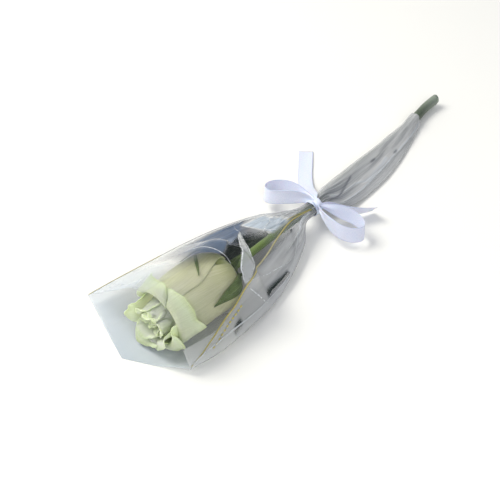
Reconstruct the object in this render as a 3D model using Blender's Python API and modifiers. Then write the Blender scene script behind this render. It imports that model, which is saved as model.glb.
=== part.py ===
"""A single cut rose in a clear film sleeve, tied with a satin ribbon bow and lying on a table.

The rose lies along X with its bloom at -X and its cut end at +X. Every piece is modelled in the frame of
the tie: x = 0 and y = 0 under the knot, z = 0 on the table. An empty then shifts them all, so that the
world origin is on the table under the middle of the whole object.
"""

import math

import bmesh
import bpy
import numpy as np
from mathutils import Matrix, Vector

MM = 0.001

# Driving dimensions, in millimetres, in the frame of the tie.
CENTRE = (4.0, -12.0)  # moves the tie's frame to the middle of the object's box
FILM_GAP = 0.5  # clear space between the film and the ribbon, at the corners of both

BLOOM_BASE = Vector((-106.0, -1.7, 24.0))  # where the petals leave the calyx
BLOOM_YAW = math.radians(7.5)  # the bloom turns a little to +Y
BLOOM_RADIUS = 23.8
BLOOM_BELLY = 17.0  # the height over the base at which the bloom has its full radius
PETAL_ROOT = 5.0  # the petals' roots start at this height over the base
PETAL_LEAN = 25.0  # above this height the petals narrow towards the mouth
CORE_TOP = 40.0
BLOOM_SQUASH = 0.95  # its own weight flattens the lying bloom a little
PETAL_THICK = 0.7
BLOOM_FLOOR = 2.0  # the petals' middle height where they rest on the film
GOLDEN_ANGLE = math.radians(137.5)

STEM_END_X = 193.0
STEM_ROUTE = [  # x, y, z, radius
    (-100.8, -1.6, 24.6, 3.0),
    (-66.0, -0.4, 21.2, 2.9),
    (-33.0, 0.2, 17.6, 3.0),
    (0.0, 0.0, 13.6, 3.1),
    (33.0, 4.0, 10.0, 3.3),
    (66.0, 5.6, 7.4, 3.5),
    (100.0, 5.6, 5.6, 3.7),
    (132.0, 5.6, 4.9, 3.8),
    (158.0, 7.2, 5.0, 3.9),
    (176.0, 8.8, 5.6, 4.1),
    (STEM_END_X, 8.0, 6.6, 4.4),
]
STEM_SIDES = 12
STEM_STATIONS = 26

LEAF_THICK = 0.65

FILM_THICK = 0.7
MOUTH_X = -180.0
FLAP_X = -201.0  # the point of the back panel

RIBBON_WIDTH = 12.0
RIBBON_THICK = 0.6


def clamp(value, low=0.0, high=1.0):
    """Limits a value to a range."""
    return max(low, min(high, value))


def smooth(value):
    """A soft step from 0 to 1."""
    value = clamp(value)
    return value * value * (3.0 - 2.0 * value)


def follow(points, x):
    """Reads a smooth curve through (x, value, ...) points, given in order of x."""
    table = np.array(points, dtype=float)
    xs = table[:, 0]
    i = int(np.clip(np.searchsorted(xs, x) - 1, 0, len(xs) - 2))
    span = xs[i + 1] - xs[i]
    t = clamp((x - xs[i]) / span)

    def slope(j):
        low = max(j - 1, 0)
        high = min(j + 1, len(xs) - 1)
        return (table[high, 1:] - table[low, 1:]) / (xs[high] - xs[low])

    h1 = 2 * t**3 - 3 * t**2 + 1
    h2 = t**3 - 2 * t**2 + t
    h3 = -2 * t**3 + 3 * t**2
    h4 = t**3 - t**2
    value = h1 * table[i, 1:] + h2 * span * slope(i) + h3 * table[i + 1, 1:] + h4 * span * slope(i + 1)
    return value if value.size > 1 else float(value[0])


def material(name, colour, roughness, metallic=0.0):
    """A Principled material with one colour."""
    made = bpy.data.materials.new(name)
    made.use_nodes = True
    shader = made.node_tree.nodes["Principled BSDF"]
    shader.inputs["Base Color"].default_value = (*colour, 1.0)
    shader.inputs["Roughness"].default_value = roughness
    shader.inputs["Metallic"].default_value = metallic
    made.diffuse_color = (*colour, 1.0)
    return made


def collection(name):
    """A new collection in the scene."""
    made = bpy.data.collections.new(name)
    bpy.context.scene.collection.children.link(made)
    return made


def new_object(name, bm, where, look=None):
    """Turns a bmesh in millimetres into an object in metres."""
    bmesh.ops.scale(bm, vec=(MM, MM, MM), verts=bm.verts)
    mesh = bpy.data.meshes.new(name)
    bm.to_mesh(mesh)
    bm.free()
    made = bpy.data.objects.new(name, mesh)
    where.objects.link(made)
    if look:
        mesh.materials.append(look)
    return made


def grid_surface(rows, close_across=False):
    """An open surface through a grid of points, split into triangles the same way everywhere."""
    bm = bmesh.new()
    verts = [[bm.verts.new(p) for p in row] for row in rows]
    across = len(rows[0])
    last = across if close_across else across - 1
    for i in range(len(rows) - 1):
        for j in range(last):
            k = (j + 1) % across
            bm.faces.new((verts[i][j], verts[i][k], verts[i + 1][k], verts[i + 1][j]))
    bmesh.ops.triangulate(bm, faces=bm.faces)
    return bm


def thicken(made, thickness, offset=0.0):
    """Gives an open surface its wall."""
    wall = made.modifiers.new("Wall", "SOLIDIFY")
    wall.thickness = thickness * MM
    wall.offset = offset
    wall.use_even_offset = False
    return wall


def apply_all(made):
    """Replaces an object's mesh by its evaluated mesh."""
    evaluated = made.evaluated_get(bpy.context.evaluated_depsgraph_get())
    mesh = bpy.data.meshes.new_from_object(evaluated)
    made.modifiers.clear()
    made.data = mesh


def keep_outer_skin(made):
    """Fills hollows that a union sealed and drops loose scraps: only the largest skin stays."""
    bm = bmesh.new()
    bm.from_mesh(made.data)
    bmesh.ops.triangulate(bm, faces=bm.faces)
    waiting = set(bm.faces)
    skins = []
    while waiting:
        skin = [waiting.pop()]
        for face in skin:
            for edge in face.edges:
                for other in edge.link_faces:
                    if other in waiting:
                        waiting.discard(other)
                        skin.append(other)
        volume = sum(f.verts[0].co.dot(f.verts[1].co.cross(f.verts[2].co)) for f in skin) / 6.0
        skins.append((volume, skin))
    skins.sort(key=lambda pair: pair[0], reverse=True)
    for volume, skin in skins[1:]:
        print(made.name, "loses a skin of", round(volume * 1e9, 1), "mm3")
        bmesh.ops.delete(bm, geom=skin, context="FACES")
    bm.to_mesh(made.data)
    bm.free()


def fuse(name, base, pieces, look):
    """Joins a base and a collection of closed pieces into one body."""
    union = base.modifiers.new("Join", "BOOLEAN")
    union.operation = "UNION"
    union.operand_type = "COLLECTION"
    union.collection = pieces
    union.solver = "MANIFOLD"
    bpy.context.view_layer.update()
    apply_all(base)
    for piece in list(pieces.objects):
        bpy.data.objects.remove(piece)
    bpy.data.collections.remove(pieces)
    base.name = name
    base.data.name = name
    keep_outer_skin(base)
    base.data.materials.clear()
    base.data.materials.append(look)
    return base


def bloom_frame():
    """Turns bloom coordinates, with z along the bloom's axis, into the frame of the tie."""
    axis = Vector((-math.cos(BLOOM_YAW), math.sin(BLOOM_YAW), 0.0))
    side = Vector((0.0, 0.0, 1.0)).cross(axis)
    turn = Matrix((side, Vector((0.0, 0.0, BLOOM_SQUASH)), axis)).transposed()
    return Matrix.Translation(BLOOM_BASE) @ turn.to_4x4()


# The guard petals, seen from the mouth, and the ruffled ring inside them, each with its angle from the near
# side, half angle, radius, height to the roll, narrowing towards the rim, roll radius, roll angle, straight
# flap, tip length and the tip's place across the petal (-1 to 1).
OPEN_PETALS = [
    (38.0, 58.0, 23.6, 62.0, 0.16, 2.8, 172.0, 11.0, 10.0, -0.7),
    (116.0, 52.0, 24.2, 63.0, 0.18, 2.6, 166.0, 8.0, 5.0, 0.4),
    (-26.0, 48.0, 22.6, 68.0, 0.14, 2.6, 140.0, 4.0, 4.0, 0.1),
    (-98.0, 54.0, 23.8, 74.0, 0.25, 3.2, 70.0, 2.0, 3.0, -0.2),
    (184.0, 50.0, 22.2, 73.0, 0.20, 3.0, 60.0, 2.0, 3.0, 0.2),
    (64.0, 62.0, 20.6, 71.0, 0.52, 2.4, 64.0, 1.5, 2.0, 0.2),
    (-54.0, 54.0, 18.4, 72.0, 0.16, 3.0, 80.0, 3.0, 2.0, 0.1),
    (142.0, 56.0, 18.0, 72.0, 0.40, 2.6, 60.0, 2.0, 2.0, 0.0),
    (10.0, 54.0, 16.8, 71.0, 0.34, 2.6, 80.0, 2.0, 2.0, -0.1),
    (-112.0, 60.0, 15.0, 74.0, 0.16, 3.0, 50.0, 2.0, 2.0, 0.0),
    (98.0, 64.0, 14.6, 74.0, 0.44, 2.4, 44.0, 1.0, 2.0, 0.0),
]
HEART_HEIGHT = 71.0
HEART_COUNT = 6
PETAL_GRID = {"heart": (6, 5), "open": (10, 8)}


def petal_list():
    """The petals, each a dict of its own sizes: the open ones from the table, the heart as a spiral."""
    keys = ("angle", "half", "radius", "height", "narrow", "roll", "turn", "flap", "tip", "tip_at")
    petals = [dict(zip(keys, row), ring="open") for row in OPEN_PETALS]
    for petal in petals:
        for key in ("angle", "half", "turn"):
            petal[key] = math.radians(petal[key])
    for i in range(HEART_COUNT):
        t = i / (HEART_COUNT - 1)
        petals.append(
            dict(
                ring="heart", angle=i * GOLDEN_ANGLE, half=math.radians(80.0 - 12.0 * t), radius=3.6 + 7.4 * t,
                height=HEART_HEIGHT, narrow=0.5 - 0.25 * t, roll=2.5, turn=math.radians(20.0 + 30.0 * t),
                flap=1.0, tip=1.5, tip_at=0.0,
            )
        )
    return petals


def bowl(height):
    """The bloom's outline as a share of its radius: a plump base, then straight."""
    share = clamp(height / BLOOM_BELLY)
    return math.sqrt(max(0.0, 1.0 - (1.0 - share) ** 2))


def petal_point(petal, s, t):
    """A point of a petal: s runs from root to rim, t from side to side (-1 to 1)."""
    body = petal["height"] - PETAL_ROOT
    over_lean = petal["height"] - PETAL_LEAN
    rolled = petal["roll"] * petal["turn"] + petal["flap"]
    length = body + rolled + petal["tip"] * max(0.0, 1.0 - abs(t - petal["tip_at"]) / 0.5) ** 1.3
    length -= body * 0.16 * abs(t) ** 3.5
    along = s * length
    turn = petal["turn"] * (1.0 + 0.12 * t * t)
    up = PETAL_ROOT + min(along, body)
    lean = clamp((up - PETAL_LEAN) / over_lean)
    radius = petal["radius"] * bowl(up) * (1.0 - petal["narrow"] * lean**2)
    if along > body:
        start = math.atan(-2.0 * petal["radius"] * petal["narrow"] / over_lean)
        angle = start + min((along - body) / petal["roll"], turn)
        radius += petal["roll"] * (math.cos(start) - math.cos(angle))
        up += petal["roll"] * (math.sin(angle) - math.sin(start))
        rest = max(0.0, (along - body) - petal["roll"] * turn)
        radius += rest * math.sin(angle)
        up += rest * math.cos(angle)
    wide = 0.55 + 0.45 * smooth(s / 0.55)
    theta = petal["angle"] + t * petal["half"] * wide
    radius += 0.35 * math.sin(3.0 * t + petal["angle"] * 2.0) * smooth((s - 0.55) / 0.4)
    return Vector((radius * math.cos(theta), radius * math.sin(theta), up))


def press(bm, floor):
    """Flattens what would sink below a height, the way the film under a lying bloom does."""
    for vert in bm.verts:
        if vert.co.z < floor:
            vert.co.z = floor + 0.12 * (vert.co.z - floor)


def bloom_core():
    """The smaller solid inside the bloom, which the petals grow from and stand out of."""
    steps = 12
    wide = BLOOM_RADIUS - 1.2
    shoulder = 11.2  # above this height the core rounds in to its top
    profile = [(0.0, 0.3)]
    for i in range(steps + 1):
        t = i / steps
        if t < 0.4:
            up = 1.2 + (shoulder - 1.2) * t / 0.4
            radius = wide * bowl(up)
        else:
            part = (t - 0.4) / 0.6
            up = shoulder + (CORE_TOP - shoulder) * math.sin(part * math.pi / 2)
            radius = wide * bowl(shoulder) * math.cos(part * math.pi / 2)
        profile.append((max(radius, 0.0), up))
    profile[-1] = (0.0, CORE_TOP)
    bm = bmesh.new()
    verts = [bm.verts.new((r, 0.0, z)) for r, z in profile]
    edges = [bm.edges.new(pair) for pair in zip(verts, verts[1:])]
    bmesh.ops.spin(
        bm, geom=verts + edges, axis=(0, 0, 1), cent=(0, 0, 0), angle=2 * math.pi, steps=24, use_merge=True
    )
    bmesh.ops.remove_doubles(bm, verts=bm.verts, dist=0.01)
    bmesh.ops.recalc_face_normals(bm, faces=bm.faces)
    return bm


def build_bloom(where, look):
    """The bloom: core and petals, fused."""
    place = bloom_frame()
    petals = collection("petals")
    for number, petal in enumerate(petal_list()):
        along, across = PETAL_GRID[petal["ring"]]
        rows = [
            [petal_point(petal, i / along, -1.0 + 2.0 * j / across) for j in range(across + 1)]
            for i in range(along + 1)
        ]
        bm = grid_surface(rows)
        bmesh.ops.recalc_face_normals(bm, faces=bm.faces)
        bm.transform(place)
        press(bm, BLOOM_FLOOR)
        made = new_object(f"petal_{number}", bm, petals)
        thicken(made, PETAL_THICK)
    core = bloom_core()
    core.transform(place)
    base = new_object("bloom", core, where)
    return fuse("bloom", base, petals, look)


# The sepals: angle at the root and at the tip from the near side, length, half width, and how far the middle
# stands off the petals. A negative length bends back along the stem.
SEPALS = [
    (26.0, 19.0, 38.0, 5.4, 0.4),
    (84.0, 88.0, -12.0, 3.4, 0.0),
    (142.0, 130.0, 34.0, 2.2, 0.2),
    (212.0, 212.0, -12.0, 3.4, 0.0),
    (284.0, 284.0, -12.0, 3.4, 0.0),
]
SEPAL_RADIUS = BLOOM_RADIUS + 1.9
# The far sepal's narrow side lobe: angle and height at its root and at its tip, and its half width.
LOBE_ROOT = (137.0, 16.5)
LOBE_TIP = (76.0, 33.5)
LOBE_HALF = 1.3


def sepal_point(sepal, s, t):
    """A point of a sepal: s runs from root to tip, t from side to side (-1 to 1)."""
    first, last, length, broad, off = sepal
    half = broad * math.sin(math.pi * clamp(0.2 + 0.8 * s)) ** 1.3 + 0.3
    if length < 0.0:
        up = -3.0 + 3.4 * math.sin(math.pi * s) + length * s * s
        radius = 4.0 + 6.5 * s
    else:
        up = -2.4 + length * s
        radius = max(4.0, SEPAL_RADIUS * bowl(max(up + 0.8, 0.0))) + off * math.sin(math.pi * s)
    theta = math.radians(first + (last - first) * s * s) + t * half / max(radius, 5.5)
    return Vector((radius * math.cos(theta), radius * math.sin(theta), up + 0.3 * t * t))


def lobe_point(s, t):
    """A point of the side lobe, which lies across the petals."""
    up = LOBE_ROOT[1] + (LOBE_TIP[1] - LOBE_ROOT[1]) * s
    up += (LOBE_HALF * math.sin(math.pi * clamp(0.1 + 0.9 * s)) + 0.3) * t
    theta = math.radians(LOBE_ROOT[0] + (LOBE_TIP[0] - LOBE_ROOT[0]) * s)
    radius = SEPAL_RADIUS + 0.3 - 0.6 * t * t
    return Vector((radius * math.cos(theta), radius * math.sin(theta), up))


def build_calyx(where, look):
    """The green cup under the bloom with its five sepals, fused."""
    place = bloom_frame()
    sepals = collection("sepals")
    along = 9
    across = 4
    blades = [lambda s, t, sepal=sepal: sepal_point(sepal, s, t) for sepal in SEPALS]
    for k, point in enumerate(blades + [lobe_point]):
        rows = [[point(i / along, -1.0 + 2.0 * j / across) for j in range(across + 1)] for i in range(along + 1)]
        bm = grid_surface(rows)
        bm.transform(place)
        made = new_object(f"sepal_{k}", bm, sepals)
        thicken(made, PETAL_THICK)
    bm = bmesh.new()
    bmesh.ops.create_cone(
        bm, cap_ends=True, cap_tris=False, segments=16, radius1=3.4, radius2=6.2, depth=4.4,
        matrix=Matrix.Translation((0.0, 0.0, -2.2)),
    )
    bm.transform(place)
    base = new_object("calyx", bm, where)
    return fuse("calyx", base, sepals, look)


def build_stem(where, look):
    """The stem: a tapered tube with prickles, fused."""
    thorns = collection("thorns")
    first = STEM_ROUTE[0][0]
    rows = []
    for i in range(STEM_STATIONS + 1):
        x = first + (STEM_END_X - first) * i / STEM_STATIONS
        y, z, radius = follow(STEM_ROUTE, x)
        rows.append(
            [
                Vector((x, y + radius * math.cos(a), z + radius * math.sin(a)))
                for a in (2 * math.pi * j / STEM_SIDES for j in range(STEM_SIDES))
            ]
        )
    bm = grid_surface(rows, close_across=True)
    bmesh.ops.holes_fill(bm, edges=[e for e in bm.edges if e.is_boundary])
    bmesh.ops.triangulate(bm, faces=bm.faces)
    bmesh.ops.recalc_face_normals(bm, faces=bm.faces)
    base = new_object("stem", bm, where)
    for x, angle, size in [(-58, 60, 1.5), (-42, 235, 1.6), (44, 205, 1.8), (76, 195, 1.8), (164, 80, 1.6)]:
        y, z, radius = follow(STEM_ROUTE, float(x))
        out = Vector((-0.35, math.cos(math.radians(angle)), math.sin(math.radians(angle)))).normalized()
        turn = out.to_track_quat("Z", "Y").to_matrix().to_4x4()
        bm = bmesh.new()
        bmesh.ops.create_cone(bm, cap_ends=True, segments=6, radius1=1.5, radius2=0.2, depth=size + 1.5)
        bm.transform(Matrix.Translation(Vector((x, y, z)) + out * (radius + (size - 1.5) / 2)) @ turn)
        new_object("thorn", bm, thorns)
    return fuse("stem", base, thorns, look)


def leaflet_rows(length, width, teeth, cup):
    """A serrated leaflet blade from its stalk (x = 0) to its tip, folded along the midrib."""
    rows = []
    steps = 2 * teeth
    for i in range(steps + 1):
        s = i / steps
        tooth = 1.0 if i % 2 else 0.84
        half = 0.5 * width * math.sin(math.pi * s**0.85) ** 0.75 * tooth + 0.45
        x = length * s
        droop = -0.05 * length * s * s
        rows.append(
            [
                Vector((x, -half, droop + cup * half)),
                Vector((x, 0.0, droop)),
                Vector((x, half, droop + cup * half)),
            ]
        )
    return rows


def build_leaf(name, where, look, stalk, leaflets):
    """A leaf: a stalk through points, and leaflets (place, yaw, pitch, roll, length, width, cup)."""
    blades = collection(name + "_blades")
    for start, yaw, pitch, roll, length, width, cup in leaflets:
        bm = grid_surface(leaflet_rows(length, width, 6, cup))
        turn = (
            Matrix.Rotation(math.radians(yaw), 4, "Z")
            @ Matrix.Rotation(math.radians(-pitch), 4, "Y")
            @ Matrix.Rotation(math.radians(roll), 4, "X")
        )
        bm.transform(Matrix.Translation(Vector(start)) @ turn)
        made = new_object("leaflet", bm, blades)
        thicken(made, LEAF_THICK)
    route = [Vector(p) for p in stalk]
    rows = []
    for i, p in enumerate(route):
        ahead = route[min(i + 1, len(route) - 1)] - route[max(i - 1, 0)]
        turn = ahead.to_track_quat("Z", "Y").to_matrix()
        rows.append([p + turn @ Vector((0.8 * math.cos(a), 0.8 * math.sin(a), 0.0)) for a in
                     (2 * math.pi * j / 6 for j in range(6))])
    bm = grid_surface(rows, close_across=True)
    bmesh.ops.holes_fill(bm, edges=[e for e in bm.edges if e.is_boundary])
    bmesh.ops.triangulate(bm, faces=bm.faces)
    bmesh.ops.recalc_face_normals(bm, faces=bm.faces)
    base = new_object(name, bm, where)
    return fuse(name, base, blades, look)


# The sleeve's side creases: x, y and z of the far and the near one.
FAR_CREASE = [
    (-201.0, 72.0, 8.0), (-181.0, 72.0, 8.0), (-117.0, 58.5, 9.0), (-83.0, 49.5, 10.0), (-55.0, 39.0, 10.5),
    (-29.0, 25.0, 11.0), (-14.0, 12.0, 12.6), (-4.0, 5.0, 14.1), (8.0, 8.6, 11.6), (20.0, 11.0, 10.0),
    (44.0, 12.0, 8.6), (100.0, 11.6, 5.5), (140.0, 11.6, 5.0), (158.0, 12.6, 5.0),
]
NEAR_CREASE = [
    (-201.0, -29.0, 5.0), (-181.0, -30.0, 5.0), (-154.0, -36.0, 5.0), (-98.0, -36.0, 5.0), (-64.0, -28.0, 6.0),
    (-40.0, -19.0, 8.0), (-16.0, -8.0, 11.6), (-4.0, -5.0, 14.1), (8.0, -9.0, 9.6), (28.0, -16.6, 3.4),
    (72.0, -18.0, 2.0), (104.0, -13.5, 2.0), (140.0, -4.5, 2.0), (158.0, 0.5, 2.2),
]
# What the sleeve goes round at each place: x, y, z and radius of a clear circle.
CONTENT = [
    (-201.0, 12.0, 25.2, 26.0), (-180.0, 8.0, 26.0, 28.2), (-165.0, 5.6, 26.4, 29.0), (-150.0, 3.6, 26.3, 28.8),
    (-120.0, 0.2, 26.0, 27.6), (-104.0, -2.0, 25.4, 25.0), (-92.0, -2.0, 24.2, 12.0), (-78.0, -1.2, 22.6, 7.0),
    (-60.0, -0.4, 20.6, 5.6), (-33.0, 0.2, 17.6, 4.8), (-4.0, 0.0, 14.1, 4.4), (33.0, 4.0, 10.0, 4.6),
    (66.0, 5.6, 7.4, 4.8), (100.0, 5.6, 5.8, 4.8), (132.0, 5.6, 5.4, 4.9), (158.0, 7.2, 5.5, 5.0),
]
# The height of the sleeve's underside in its middle, and half the width of its flat strip.
UNDERSIDE = [
    (-201.0, 1.5, 6.0), (-190.0, 0.4, 8.0), (-172.0, 0.0, 13.0), (-126.0, 0.0, 13.0), (-104.0, 1.0, 9.0),
    (-60.0, 5.6, 5.0), (-30.0, 8.4, 3.5), (-4.0, 8.6, 2.0), (20.0, 4.4, 3.0), (56.0, 0.8, 4.5), (84.0, 0.0, 4.5),
    (136.0, 0.0, 4.5), (158.0, 0.2, 4.0),
]
SLEEVE_OVER = 18
SLEEVE_UNDER = 14
SLEEVE_STATIONS = [
    -180, -174, -168, -150, -132, -116, -104, -94, -78, -60, -44, -32, -23, -15, -8, 0, 7, 15, 24, 36, 50, 66,
    86, 112, 136, 158,
]
NECK = (-36.0, -9.0, 1.0, 22.0)
PLEATS = 8


def tent(start, end, centre, radius, count):
    """Points along a taut line from start, over a circle, down to end, evenly spaced."""

    def touch(point, side):
        away = Vector((point[0] - centre[0], point[1] - centre[1]))
        lean = math.acos(min(1.0, radius / away.length))
        heading = math.atan2(away.y, away.x) % (2 * math.pi)
        if side > 0 and heading > math.pi:
            heading -= 2 * math.pi
        return heading + side * lean

    first = touch(start, 1.0)
    last = max(touch(end, -1.0), first)
    line = [start]
    for i in range(13):
        angle = first + (last - first) * i / 12
        line.append((centre[0] + radius * math.cos(angle), centre[1] + radius * math.sin(angle)))
    line = np.array(line + [end])
    steps = np.concatenate([[0.0], np.cumsum(np.linalg.norm(np.diff(line, axis=0), axis=1))])
    wanted = np.linspace(0.0, steps[-1], count)
    return [(float(np.interp(w, steps, line[:, 0])), float(np.interp(w, steps, line[:, 1]))) for w in wanted]


def sleeve_section(x):
    """The sleeve's cross-section at x: (y, z) points over the top and back along the underside."""
    far = follow(FAR_CREASE, x)
    near = follow(NEAR_CREASE, x)
    cy, cz, cr = follow(CONTENT, x)
    low, flat = follow(UNDERSIDE, x)
    low = max(low, 0.0)
    over = tent(tuple(far), tuple(near), (cy, cz), cr, SLEEVE_OVER + 1)
    points = over[:-1]
    for j in range(SLEEVE_UNDER):
        t = j / SLEEVE_UNDER
        y = near[0] + (far[0] - near[0]) * t
        edge = near if y < cy else far
        away = abs(y - cy) - flat
        reach = max(abs(edge[0] - cy) - flat, 0.5)
        points.append((y, low + (edge[1] - low) * smooth(away / reach)))
    ring_y, ring_z, ring_r = follow(STEM_ROUTE, x)
    w = smooth((x - NECK[0]) / (NECK[1] - NECK[0])) * (1.0 - smooth((x - NECK[2]) / (NECK[3] - NECK[2])))
    count = len(points)
    mixed = []
    for j, (y, z) in enumerate(points):
        angle = -2 * math.pi * j / count
        pleat = 0.75 * math.cos(PLEATS * angle)
        r = ring_r + 1.95 + pleat
        ny = ring_y + r * math.cos(angle)
        nz = ring_z - r * math.sin(angle)
        mixed.append((y + (ny - y) * w, z + (nz - z) * w))
    return mixed


def mouth_shift(share):
    """How far the mouth's rim stands beyond its plain end: the back panel runs out to a point."""
    over = SLEEVE_OVER / (SLEEVE_OVER + SLEEVE_UNDER)
    if share <= over:
        return 0.0
    under = (share - over) / (1.0 - over)
    apex = 0.45
    rise = under / apex if under < apex else (1.0 - under) / (1.0 - apex)
    return (FLAP_X - MOUTH_X) * rise


def build_sleeve(where, look):
    """The film sleeve: an open tube with a wall, gathered at the tie."""
    rows = []
    for x in SLEEVE_STATIONS:
        section = sleeve_section(float(x))
        fade = 1.0 - smooth((x - MOUTH_X) / 30.0)
        row = []
        for j, (y, z) in enumerate(section):
            row.append(Vector((x + mouth_shift(j / len(section)) * fade, y, z)))
        rows.append(row)
    bm = grid_surface(rows, close_across=True)
    made = new_object("sleeve", bm, where, look)
    thicken(made, FILM_THICK, offset=-1.0)
    return made


def keep_off_sleeve(bm, clear):
    """Pushes what would sink into the gathered film out to a clear distance from it."""
    for vert in bm.verts:
        x, y, z = vert.co
        if abs(x - TIE_X) > TIE_REACH:
            continue
        ring_y, ring_z, _ = follow(STEM_ROUTE, x)
        section = np.array(sleeve_section(x)) - (ring_y, ring_z)
        angles = np.arctan2(section[:, 1], section[:, 0])
        order = np.argsort(angles)
        reach = np.hypot(section[:, 0], section[:, 1])[order]
        angle = math.atan2(z - ring_z, y - ring_y)
        film = max(
            np.interp(angle + side, angles[order], reach, period=2 * math.pi) for side in (-0.2, 0.0, 0.2)
        )
        away = math.hypot(y - ring_y, z - ring_z)
        if away < film + clear:
            vert.co.y = ring_y + (y - ring_y) * (film + clear) / away
            vert.co.z = ring_z + (z - ring_z) * (film + clear) / away


def ribbon_strip(name, where, route, up, steps, closed=False):
    """A ribbon along a route of points, pinched at the knot; up gives its width's direction at both ends."""
    points = [Vector(p) for p in route]
    table = [(i, *p) for i, p in enumerate(points)]
    rows = []
    for i in range(steps + 1):
        k = (len(points) - 1) * i / steps
        centre = Vector(follow(table, k))
        s = i / steps
        lean = (Vector(up[0]) * (1.0 - s) + Vector(up[1]) * s).normalized()
        from_knot = min(s, 1.0 - s) if closed else s
        half = 0.5 * RIBBON_WIDTH * (0.3 + 0.7 * smooth(from_knot / 0.25))
        rows.append([centre + lean * half * side for side in (-1.0, -0.4, 0.4, 1.0)])
    bm = grid_surface(rows)
    keep_off_sleeve(bm, FILM_GAP + 1.5 * RIBBON_THICK)
    made = new_object(name, bm, where)
    thicken(made, RIBBON_THICK)
    return made


KNOT = Vector((-4.0, -3.2, 19.6))
TIE_X = -4.0
TIE_REACH = 12.0  # how far along the stem the ribbon is kept off the film
NEAR_LOOP = [
    (-4.4, -4.6, 19.6), (-9.6, -13.0, 18.4), (-13.0, -24.0, 16.0), (-12.4, -34.0, 13.6), (-7.0, -42.4, 11.4),
    (1.0, -46.0, 10.6), (6.4, -41.0, 11.6), (7.0, -31.0, 14.0), (3.2, -21.0, 16.4), (-0.8, -12.0, 18.4),
    (-4.0, -4.4, 19.8),
]
FAR_LOOP = [
    (-3.6, -1.0, 20.6), (-1.0, 10.0, 20.0), (-0.2, 22.0, 18.4), (-2.4, 34.0, 16.0), (-8.0, 41.6, 14.0),
    (-14.6, 41.4, 13.6), (-17.4, 34.6, 14.8), (-14.8, 25.0, 17.6), (-9.4, 14.0, 20.4), (-4.6, 4.0, 21.2),
    (-4.4, -1.0, 21.2),
]
TAIL_ONE = [
    (-3.4, -2.0, 19.8), (2.4, 6.6, 18.4), (11.0, 15.2, 11.8), (22.0, 26.0, 3.4), (34.0, 36.4, 1.2),
    (48.0, 46.6, 1.0), (61.6, 56.6, 1.0),
]
TAIL_TWO = [(-3.6, -4.0, 19.4), (4.0, -12.4, 16.4), (14.6, -22.6, 11.0), (24.0, -29.4, 8.0), (32.8, -35.0, 7.0)]


def build_ribbon(where, look):
    """The satin ribbon: a band round the neck, a knot, two loops and two tails, fused."""
    pieces = collection("ribbon_pieces")
    ribbon_strip("loop_near", pieces, NEAR_LOOP, ((0.3, 0.2, 0.9), (0.3, 0.2, 0.9)), 20, closed=True)
    ribbon_strip("loop_far", pieces, FAR_LOOP, ((0.2, 0.1, 0.9), (0.2, 0.1, 0.9)), 20, closed=True)
    ribbon_strip("tail_one", pieces, TAIL_ONE, ((-0.77, 0.63, 0.0), (-0.63, 0.77, 0.0)), 12)
    ribbon_strip("tail_two", pieces, TAIL_TWO, ((-0.2, 0.1, 0.9), (-0.3, -0.5, 0.8)), 10)
    rows = []
    for x in (TIE_X - 3.8, TIE_X, TIE_X + 3.8):
        band_y, band_z, band_r = follow(STEM_ROUTE, x)
        ring = []
        for j in range(20):
            a = 2 * math.pi * j / 20
            ring.append(
                Vector((x, band_y + (band_r + 3.7) * math.cos(a), band_z + (band_r + 3.7) * math.sin(a)))
            )
        rows.append(ring)
    bm = grid_surface(rows, close_across=True)
    made = new_object("band", bm, pieces)
    thicken(made, RIBBON_THICK * 1.5)
    bm = bmesh.new()
    bmesh.ops.create_icosphere(bm, subdivisions=2, radius=1.0)
    bmesh.ops.scale(bm, vec=(4.4, 4.0, 3.0), verts=bm.verts)
    bmesh.ops.translate(bm, vec=KNOT, verts=bm.verts)
    keep_off_sleeve(bm, FILM_GAP)
    base = new_object("ribbon", bm, where)
    return fuse("ribbon", base, pieces, look)


def main():
    for old in list(bpy.data.objects):
        bpy.data.objects.remove(old)
    where = collection("wrapped_rose")
    made = [
        build_bloom(where, material("petal", (0.72, 0.76, 0.52), 0.6)),
        build_calyx(where, material("sepal_green", (0.10, 0.20, 0.06), 0.6)),
        build_stem(where, material("stem_green", (0.09, 0.17, 0.04), 0.55)),
    ]
    leaf = material("leaf_green", (0.02, 0.04, 0.02), 0.5)
    made.append(
        build_leaf(
            "leaf_far", where, leaf,
            [(-34.0, 4.5, 17.8), (-40.0, 6.6, 17.0), (-46.0, 9.6, 15.8), (-51.0, 11.6, 14.4)],
            [
                ((-50.0, 11.4, 14.5), 168.0, -5.0, 14.0, 52.0, 30.0, 0.14),
            ],
        )
    )
    made.append(
        build_leaf(
            "leaf_near", where, leaf,
            [(-38.0, -4.4, 17.2), (-42.0, -9.4, 14.0), (-48.0, -15.4, 10.6), (-57.0, -20.0, 7.9), (-88.0, -24.0, 7.9)],
            [
                ((-87.0, -23.8, 8.1), 189.0, 2.0, -12.0, 48.0, 11.0, 0.22),
                ((-56.0, -20.0, 8.0), 190.5, 1.2, -16.0, 39.0, 6.0, 0.10),
            ],
        )
    )
    made.append(build_sleeve(where, material("film", (0.80, 0.83, 0.85), 0.2)))
    made.append(build_ribbon(where, material("satin", (0.86, 0.87, 0.95), 0.35)))
    middle = bpy.data.objects.new("middle_of_box", None)
    where.objects.link(middle)
    for piece in made:
        piece.parent = middle
    middle.location = (CENTRE[0] * MM, CENTRE[1] * MM, 0.0)
    bpy.context.view_layer.update()
    for piece in made:
        piece.data.shade_smooth()
        print(piece.name, len(piece.data.polygons), "faces")


main()
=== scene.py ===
# %% [markdown]
# # A wrapped rose on a white table
# The real object is one white cut rose, half open, in a clear film sleeve. A satin ribbon ties the sleeve
# round the stem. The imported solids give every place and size, and this lesson dresses them: the solids of
# soft, thin and grown things are replaced by finer pieces of the same form.

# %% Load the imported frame
import math
from bisect import bisect_left as bisect
from functools import lru_cache

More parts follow.
